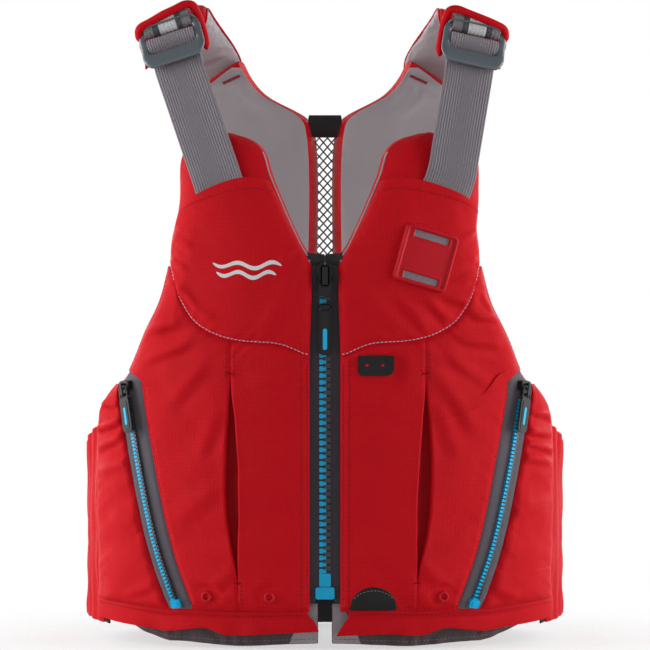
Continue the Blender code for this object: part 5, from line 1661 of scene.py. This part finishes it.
# The pad's end folded over the loop: down the strap, lift and inward, in mm.
FOLD_LINE = [
    (-10.0, -3.0, -24.0), (-15.5, 0.5, -24.5), (-19.5, 3.8, -22.0), (-21.5, 5.2, -14.0),
    (-23.5, 5.8, -3.0), (-25.8, 5.8, 10.0), (-27.4, 4.8, 19.0), (-26.0, 2.4, 24.0),
    (-20.0, -1.5, 25.5), (-10.0, -5.5, 26.0), (2.0, -8.0, 25.5), (10.0, -9.5, 24.5)]
FOLD_LONG, FOLD_ROUND, FOLD_THICK = 0.066, 0.022, 3.3       # metres along and round it, radius in mm
# Down the strap and lift, in mm: the loop from the pad, and the strap's way round the lock's bar.
LOOP_LINE = [(-24.5, -0.5), (-24.0, 2.4), (-21.5, 4.4), (-17.5, 4.0), (-13.5, 3.1), (-11.6, 0.6),
             (-12.2, -2.0), (-15, -3.6), (-20, -3.6), (-27, -2.5)]
WRAP_START = (20, -3.1)
WRAP_LINE = [WRAP_START, (10, -3.1), (4.5, -2.5), (1.5, 0.2), (-1.5, 2.6), (-4.5, 3.4), (-7.2, 2.6),
             (-8.6, 0.0), (-7.4, -2.8), (-3, -5.2), (12, -5.6), (22, -6.0)]
# Down the strap, lift and across, in mm: the raised rim on the lock's upper bar.
RIM_LINE = [(-15.5, 1.5, -23.0), (-17.6, 3.6, -21.5), (-18.2, 5.0, -17.0), (-18.4, 5.4, 0.0),
            (-18.2, 5.0, 17.0), (-17.6, 3.6, 21.5), (-15.5, 1.5, 23.0)]


def shoulder(tag, side):
    """Striped loop, ladder-lock and strap of one shoulder."""
    place = strap_frame(side)
    across = np.array(place.col[0].xyz)

    def at(s, n, a=0.0):
        return place @ Vector((a * MM, s * MM, -n * MM))

    made, length = ribbon("shoulder_loop_web_" + tag, [at(*p) for p in LOOP_LINE], across,
                          "striped_webbing", 12)
    show(made, "back", "shoulder_loop_" + tag, slot="striped_webbing")

    foot_x, foot_z = STRAP_ENDS[side]
    foot = spot(side, foot_x, foot_z, 4.2)
    taut = at(*WRAP_START) - foot
    path = [spot(side, foot_x - 0.0085, foot_z - 0.026, 1.7),
            spot(side, foot_x - 0.0018, foot_z - 0.007, 2.2)]
    path += [foot + taut * t for t in (0.06, 0.2, 0.4, 0.6, 0.8)] + [at(*p) for p in WRAP_LINE]
    # The strap is cut in two where it leaves the ladder-lock, 0.82 of its taut length up.
    samples, first_half = 2000, 1200
    steps = through(path)(np.linspace(0, 1, samples))[:first_half]
    split = float(np.argmin(np.linalg.norm(steps - np.array(foot + taut * 0.82), axis=1))) / (samples - 1)
    low, long_a = ribbon("strap_long_" + tag, path, across, "grey_webbing", 18, 0.0, split + 0.002, 300)
    top, long_b = ribbon("strap_wrap_" + tag, path, across, "grey_webbing", 18, split, 1.0, 260)
    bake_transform(low)
    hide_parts("shoulder_strap_" + tag)
    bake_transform(top)

    share = np.linspace(0, 1, 60)
    line = through([at(down, lift, -side * inward) for down, lift, inward in FOLD_LINE])(share)
    long = np.linspace(0, FOLD_LONG, 60)
    uneven = FOLD_THICK * MM * (1 + 0.10 * noise(long, 0.0, 0.007, 111 + side))
    uneven *= np.sqrt(np.clip(np.minimum(share, np.linspace(1, 0, 60)) / 0.06 + 0.1, 0, 1))
    made = piece("shoulder_fold_" + tag, *tube(line, uneven, 20), "red_nylon",
                 flat_uv(long, np.linspace(0, FOLD_ROUND, 20)))
    show(made, "back", slot="red_nylon")

    made = piece("lock_frame_" + tag, *lock_cage(place), "grey_plastic")
    subdivide(made, 3)
    show(made, "lock_" + tag, "ladder_lock_" + tag, slot="grey_plastic")
    line = through([at(*p) for p in RIM_LINE])(share)
    show(piece("lock_rim_" + tag, *tube(line, 0.85 * MM, 10), "grey_plastic"), "lock_" + tag,
         slot="grey_plastic")


# Rows of the ladder-lock's cage down the strap: place, lift, half thickness and half width in mm.
LOCK_ROWS = [(-17.4, 0.2, 2.2, 24.5), (-12.2, 0.0, 2.2, 26.2), (-7.6, 0.1, 2.0, 26.2), (-2.6, 0.1, 2.0, 26.2),
             (4.4, 0.8, 2.0, 26.4), (10.6, 3.1, 1.8, 26.4), (18.0, 3.0, 1.7, 21.0)]
LOCK_HOLES = (1, 3)
LOCK_COLUMNS = (-1.0, -0.755, -0.40, 0.0, 0.40, 0.755, 1.0)  # shares of the half width


def lock_cage(place):
    """The ladder-lock as a coarse cage that subdivision rounds: two windows in a curved plate."""
    points, faces = [], []
    across, rows = len(LOCK_COLUMNS), len(LOCK_ROWS)
    for level in (1, -1):
        for s, n, half, wide in LOCK_ROWS:
            for share in LOCK_COLUMNS:
                points.append(place @ Vector((share * wide * MM, s * MM, -(n + half * level) * MM)))

    def solid(i, j):
        inside = 0 <= i < across - 1 and 0 <= j < rows - 1
        return inside and not (j in LOCK_HOLES and 0 < i < across - 2)

    def vertex(i, j, level):
        return level * across * rows + j * across + i
    for j in range(rows - 1):
        for i in range(across - 1):
            if not solid(i, j):
                continue
            corners = ((i, j), (i + 1, j), (i + 1, j + 1), (i, j + 1))
            faces.append([vertex(*c, 0) for c in corners])
            faces.append([vertex(*c, 1) for c in reversed(corners)])
            beyond = ((i, j - 1), (i + 1, j), (i, j + 1), (i - 1, j))
            for a, b, other in zip(corners, corners[1:] + corners[:1], beyond):
                if not solid(*other):
                    faces.append([vertex(*b, 0), vertex(*a, 0), vertex(*a, 1), vertex(*b, 1)])
    return np.array(points), faces


def lining_tacks(tag, side):
    """The red bar tack on the lining under each shoulder."""
    a, b = back(side, 0.0765, 0.4625, LINING - 2.6), back(side, 0.0925, 0.4560, LINING - 2.6)
    bar_tack("lining_tack_" + tag, a, b, np.array([0, -1.0, 0]), "back", 2.2)


# ---- back and sides ------------------------------------------------------------------------------
def back_cover(tag, side):
    """Back foam panel in its red cover, sloping in towards the lining at the middle."""
    u, v = unit_grid(76, 150)
    x, z = BACK_SPAN.at(u, v)
    crease = -1.6 * np.exp(-((z - 0.300 - 0.03 * (x - 0.06)) / 0.0045) ** 2)
    out = back_puff(x, z) + SHELL + (0.7 * noise(x, z, 0.028, 91 + side) + crease)
    top = back(side, x, z, out) + bulge_of(MOVES, "back" + tag[0], *COARSE["back"], u, v)
    inner = np.clip(x, BACK_NEAR_EDGE(z) + LINING_INSET, BACK_FAR_EDGE(z) - 0.002)
    under = back(side, inner, z, LINING + 0.7 + hollow(u, v))
    wall = [(t, 0.06 * math.sin(math.pi * t)) for t in (0.06, 0.15, 0.28, 0.42, 0.56, 0.70, 0.84, 0.95)]
    made = slab("back_cover_" + tag, top, under, ["red_nylon"], cloth_uv(x, z), wall)
    show(made, "back", "back_shell_" + tag, "back_foam_" + tag, slot="red_nylon")
    for name, share in (("edge", 0.955), ("middle", 0.06)):
        line, outward = rows_of(top, share, 1, 0.03, 0.97, 700)
        if outward[300, 1] < 0:
            outward = -outward
        stitches("back_stitching_%s_%s" % (name, tag), (line, outward), "red_thread", "back",
                 "red_nylon")


def back_lining(tag, side):
    u, v = unit_grid(64, 130)
    x, z = BACK_LINING_SPAN.at(u, v)
    crease = 0.9 * np.exp(-((z - 0.452 + 0.35 * (x - 0.09)) / 0.0030) ** 2) * step((x - 0.06) / 0.03)
    flat = back(side, x, z, LINING - crease)
    points = flat + bulge_of(MOVES, "back_lining" + tag[0], *COARSE["back_lining"], u, v)
    top, under = thickened(points, 0.5, OUTSIDE["inside"])
    made = slab("back_lining_cloth_" + tag, top, under, ["grey_lining"], cloth_uv(x, z))
    show(made, "back", "back_lining_" + tag, slot="grey_lining")


# The net: its cell, its parts as (foot, top, half width), and in mm how far out it lies, below and
# how much more between the panels, and its thread's radius.
NET_CELL, NET_PARTS = (0.0070, 0.0076), ((0.0300, 0.1960, 0.1660), (0.1960, 0.4190, 0.0130))
NET_OUT, NET_BEHIND, NET_THREAD = -15.2, 11.2, 0.64


def net():
    """Diamond net between and under the back panels. Between them it lies behind their sides."""
    wide, tall = NET_CELL
    parts = []
    for low, high, limit in NET_PARTS:
        rows = np.arange(low, high + 1e-9, tall / 4)
        for lean in (-1, 1):
            shift = wide * (high - low) / tall
            for start in np.arange(-limit - shift, limit + shift, wide):
                x = start + lean * wide * (rows - low) / tall
                keep = np.abs(x) <= limit
                if keep.sum() < 2:
                    continue
                x, z = x[keep], rows[keep]
                knots = 0.3 * lean * np.cos(np.arange(len(x)) * math.pi / 2)
                behind = NET_BEHIND * step((z - 0.205) / 0.030) * step((0.419 - z) / 0.024)
                parts.append(tube(whole_back(x, z, NET_OUT + behind + knots, 1e-6), NET_THREAD * MM, 6))
    made = piece("back_net", *merged(parts), "black_mesh")
    show(made, "back", "back_mesh", slot="black_mesh")


def edge_band(name, points, thick, out, node=None, blend=None):
    """A strip of black webbing over a grid, across first, then along. It rides on the back, or, when blend is
    given, keeps its transform applied and rides on no body; blend's bodies and ends are not used."""
    top, under = thickened(points, thick, out)
    across, along = distances(points[:, 0]), distances(points[0])
    made = slab(name, top, under, ["black_webbing"], flat_uv(across, along),
                ((0.2, 0.4), (0.5, 0.55), (0.8, 0.4)))
    if blend:
        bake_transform(made)
    else:
        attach(made, "back")
    if node:
        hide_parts(node)


def back_middle():
    """Bindings of the net and neck."""
    a, b = unit_grid(14, 60)
    bulge = 2.6 * np.sin(a * math.pi) ** 0.6
    points = whole_back((b - 0.5) * 2 * 0.0135, 0.4135 + 0.0170 * a, -16.5 - bulge)
    edge_band("neck_binding_web", points, 1.8, (0, 0, 0.42), "neck_binding")
    wide, thick = 0.0110, 2.6
    a, b = unit_grid(9, 240)
    for name, foot in (("low", 0.0300), ("high", 0.1850)):
        points = whole_back((b - 0.5) * 2 * 0.1680, foot + wide * a, -14.2 + 1.4 * np.sin(a * math.pi))
        edge_band("net_binding_" + name, points, thick, OUTSIDE["back"])
    a, b = unit_grid(9, 110)
    for tag, side in SIDES.items():
        points = back(side, 0.1590 + wide * a, 0.0330 + 0.1600 * b, -14.2 + 1.4 * np.sin(a * math.pi))
        edge_band("net_side_binding_" + tag, points, thick, OUTSIDE["back"])


def round_side(side, angle, z, out):
    return surface(angle, z, out) * (side, 1, 1)


WAIST_GATHERS, SIDE_TUCKS = 62, 9
SIDE_Z, SIDE_DIP = (0.0040, 0.1735), 0.0170     # the side panel's foot and top, which dips behind
SIDE_STRAP_Z, SIDE_STRAP_WIDE = 0.1025, 0.0250


def side_parts(tag, side):
    """Waistband half, stretch side panel, side strap and its buckle."""
    ends = [tuple(round_side(side, t, 0.10, -8.0)) for t in (72.0, 96.0)]
    seam = ("front_" + tag, "back", ends[0], ends[1])
    a, b = unit_grid(22, 420)
    gather = np.sin(b * 2 * math.pi * WAIST_GATHERS + 2.0 * noise(b, a * 0.1, 0.05, 95))
    out = -12.5 + 0.55 * gather * np.sin(a * math.pi) ** 0.5 + 0.5 * noise(b * 0.4, a * 0.04, 0.02, 97)
    points = round_side(side, 70.5 + 109.6 * b, 0.0005 + 0.0340 * a, out)
    edge_band("waistband_" + tag, points, 1.9, (side * 3, 3, 0.02), "waistband" if side > 0 else None,
              seam)

    a, b = unit_grid(90, 110)
    foot, head = SIDE_Z
    z = foot + (head - SIDE_DIP * step(a / 0.45) - foot) * b
    tucks = np.sin(a * 2 * math.pi * SIDE_TUCKS + 1.6 * noise(a * 0.3, b * 0.3, 0.08, 99 + side))
    hems = 0.45 + 0.55 * np.exp(-(np.minimum(b, 1 - b) / 0.30) ** 2)
    # Its front edge tucks in under the pocket, and its rear one under the net's binding.
    tucked = 1.4 * step((0.06 - a) / 0.05) + 11.0 * step((a - 0.62) / 0.40) ** 1.5
    out = -2.6 - tucked + 1.3 * (tucks * np.sin(a * math.pi) ** 0.4) * hems
    points = round_side(side, 66.3 + 57.9 * a, z, out + 0.9 * noise(a * 0.2, b * 0.2, 0.03, 101))
    top, under = thickened(points, 1.4, (side * 3, 0, 0.1))
    made = slab("side_panel_cloth_" + tag, top, under, ["red_nylon"], np.stack([a * 0.157, z], -1))
    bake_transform(made)
    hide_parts("side_panel_" + tag)

    a, b = unit_grid(25, 200)
    ribs = 0.12 * np.cos(a * 2 * math.pi * 10)
    over = step(b / 0.10) * 3.2 - 2.6 - 13.0 * step((b - 0.45) / 0.55)
    points = round_side(side, 95.5 + 55.0 * b, SIDE_STRAP_Z + (a - 0.5) * SIDE_STRAP_WIDE, over + ribs)
    edge_band("side_web_" + tag, points, 1.5, (side * 3, 1, 0.1), "side_strap_" + tag)
    made = Solid()
    at, ahead, behind, off = (Vector(round_side(side, turn, SIDE_STRAP_Z, out)) for turn, out in (
        (109.4, 2.2), (106.0, 2.2), (113.0, 2.2), (109.4, 12.0)))
    outward = (off - at).normalized()
    place = placing(at, behind - ahead, (0, 0, 1))
    flip = 1 if place.col[1].xyz.dot(outward) > 0 else -1
    place = place @ Matrix.Scale(flip, 4, (0, 1, 0))
    half = 0.0172
    for low, high, deep in ((-0.0166, -0.0138, 0.0030), (-0.0060, -0.0028, 0.0026), (0.0060, 0.0166, 0.0036)):
        made.box((low, -0.0015, -half + 0.0010), (high, deep - 0.0015, half - 0.0010), 0.0009, place)
    for s in (-1, 1):
        low, high = sorted((s * (half - 0.0040), s * half))
        made.box((-0.0170, -0.0018, low), (0.0166, 0.0016, high), 0.0010, place)
    show(made.done("side_adjuster_" + tag, ["black_plastic"]), "back", "side_buckle_" + tag,
         slot="black_plastic")


for tag_, side_ in SIDES.items():
    front_cover(tag_, side_)
    front_lining(tag_, side_)
    yoke_grid = chest_yoke(tag_, side_)
    if side_ < 0:
        chest_mark(yoke_grid)
    pocket_stitching(tag_, lower_pocket(tag_, side_))
    side_pocket(tag_, side_)
    shoulder_pad(tag_, side_)
    hems(tag_, side_)
    neck_piping(tag_, side_)
    pocket_zip(tag_, side_)
    centre_zip(tag_, side_)
    shoulder(tag_, side_)
    lining_tacks(tag_, side_)
    back_cover(tag_, side_)
    back_lining(tag_, side_)
    side_parts(tag_, side_)
centre_fittings()
lash_tab()
badges()
net()
back_middle()


# ---- stage, lights and camera --------------------------------------------------------------------
LENS, SENSOR, CAMERA_AT = 202.6, 36.0, (0.0, -3.0, 0.2534)     # mm, mm and metres
# The surround's brightness from straight down to straight up, as (position, value).
SURROUND = [(0.0, 0.34), (0.30, 0.47), (0.44, 1.0), (0.56, 1.0), (0.63, 0.24), (1.0, 0.15)]
FLOOR_FADE = (0.10, 0.42)    # from where to where, in metres off the middle, the floor fades out
MIDDLE = (0, 0, 0.25)
# Each light: where it is and looks, its width and height in metres, and its power in watts.
LIGHTS = {
    "key_left": ((-1.6, -0.22, 0.55), MIDDLE, 1.0, 1.7, 32),
    "key_right": ((1.6, -0.22, 0.55), MIDDLE, 1.0, 1.7, 28),
    "front_fill": ((0.25, -2.4, 1.7), MIDDLE, 0.9, 0.6, 4),
    "back_left": ((-1.2, 1.6, 0.9), (0, 0, 0.3), 0.9, 1.4, 14),
    "back_right": ((1.2, 1.6, 0.9), (0, 0, 0.3), 0.9, 1.4, 14),
}


def camera():
    """A long lens level with the middle of the jacket, three metres off."""
    made = linked("camera", bpy.data.cameras.new("camera"))
    made.data.lens = LENS
    made.data.sensor_width = SENSOR
    made.location = CAMERA_AT
    made.rotation_euler = (math.pi / 2, 0, 0)
    made.data.clip_start = 0.1
    made.data.clip_end = 60.0
    bpy.context.scene.camera = made


def area_light(name, at, towards, width, height, power):
    """A rectangular light at a point, facing another."""
    data = bpy.data.lights.new(name, "AREA")
    data.shape = "RECTANGLE"
    data.size, data.size_y = width, height
    data.energy = power
    made = linked(name, data)
    made.location = at
    made.rotation_euler = (Vector(towards) - Vector(at)).to_track_quat("-Z", "Y").to_euler()


def studio():
    """White surround, dimmer overhead, with two large side lights, a soft front light and two
    behind. The floor takes a soft shadow and fades out away from the jacket."""
    world = bpy.data.worlds.new("studio")
    bpy.context.scene.world = world
    world.use_nodes = True
    tree = world.node_tree
    background = tree.nodes["Background"]
    split = tree.nodes.new("ShaderNodeSeparateXYZ")
    tree.links.new(tree.nodes.new("ShaderNodeTexCoord").outputs["Generated"], split.inputs[0])
    ramp = tree.nodes.new("ShaderNodeValToRGB")
    half = tree.nodes.new("ShaderNodeMath")
    half.operation = "MULTIPLY_ADD"
    half.inputs[1].default_value = half.inputs[2].default_value = 0.5
    tree.links.new(split.outputs[2], half.inputs[0])
    tree.links.new(half.outputs[0], ramp.inputs[0])
    while len(ramp.color_ramp.elements) < len(SURROUND):
        ramp.color_ramp.elements.new(1.0)
    for element, (position, value) in zip(ramp.color_ramp.elements, SURROUND):
        element.position = position
        element.color = (value, value, value, 1)
    tree.links.new(ramp.outputs[0], background.inputs[0])

    made = Finish("floor", (0.88, 0.88, 0.88), 0.9)
    away = made.node("VectorMath", operation="LENGTH")
    made.feed(away.inputs[0], made.place())
    fade = made.node("MapRange", interpolation_type="SMOOTHSTEP")
    made.feed(fade.inputs[0], away.outputs["Value"])
    for socket, value in zip(fade.inputs[1:5], (*FLOOR_FADE, 0.45, 0.0)):
        socket.default_value = value
    made.feed(made.shader.inputs["Alpha"], fade.outputs[0])
    bm = bmesh.new()
    bmesh.ops.create_circle(bm, cap_ends=True, segments=96, radius=0.5)
    mesh = bpy.data.meshes.new("floor")
    bm.to_mesh(mesh)
    bm.free()
    mesh.materials.append(made.material)
    floor = linked("floor", mesh)
    floor.location = (0, 0, -0.0015)
    for name, settings in LIGHTS.items():
        area_light(name, *settings)


camera()
studio()
bpy.context.scene.view_settings.view_transform = "Standard"
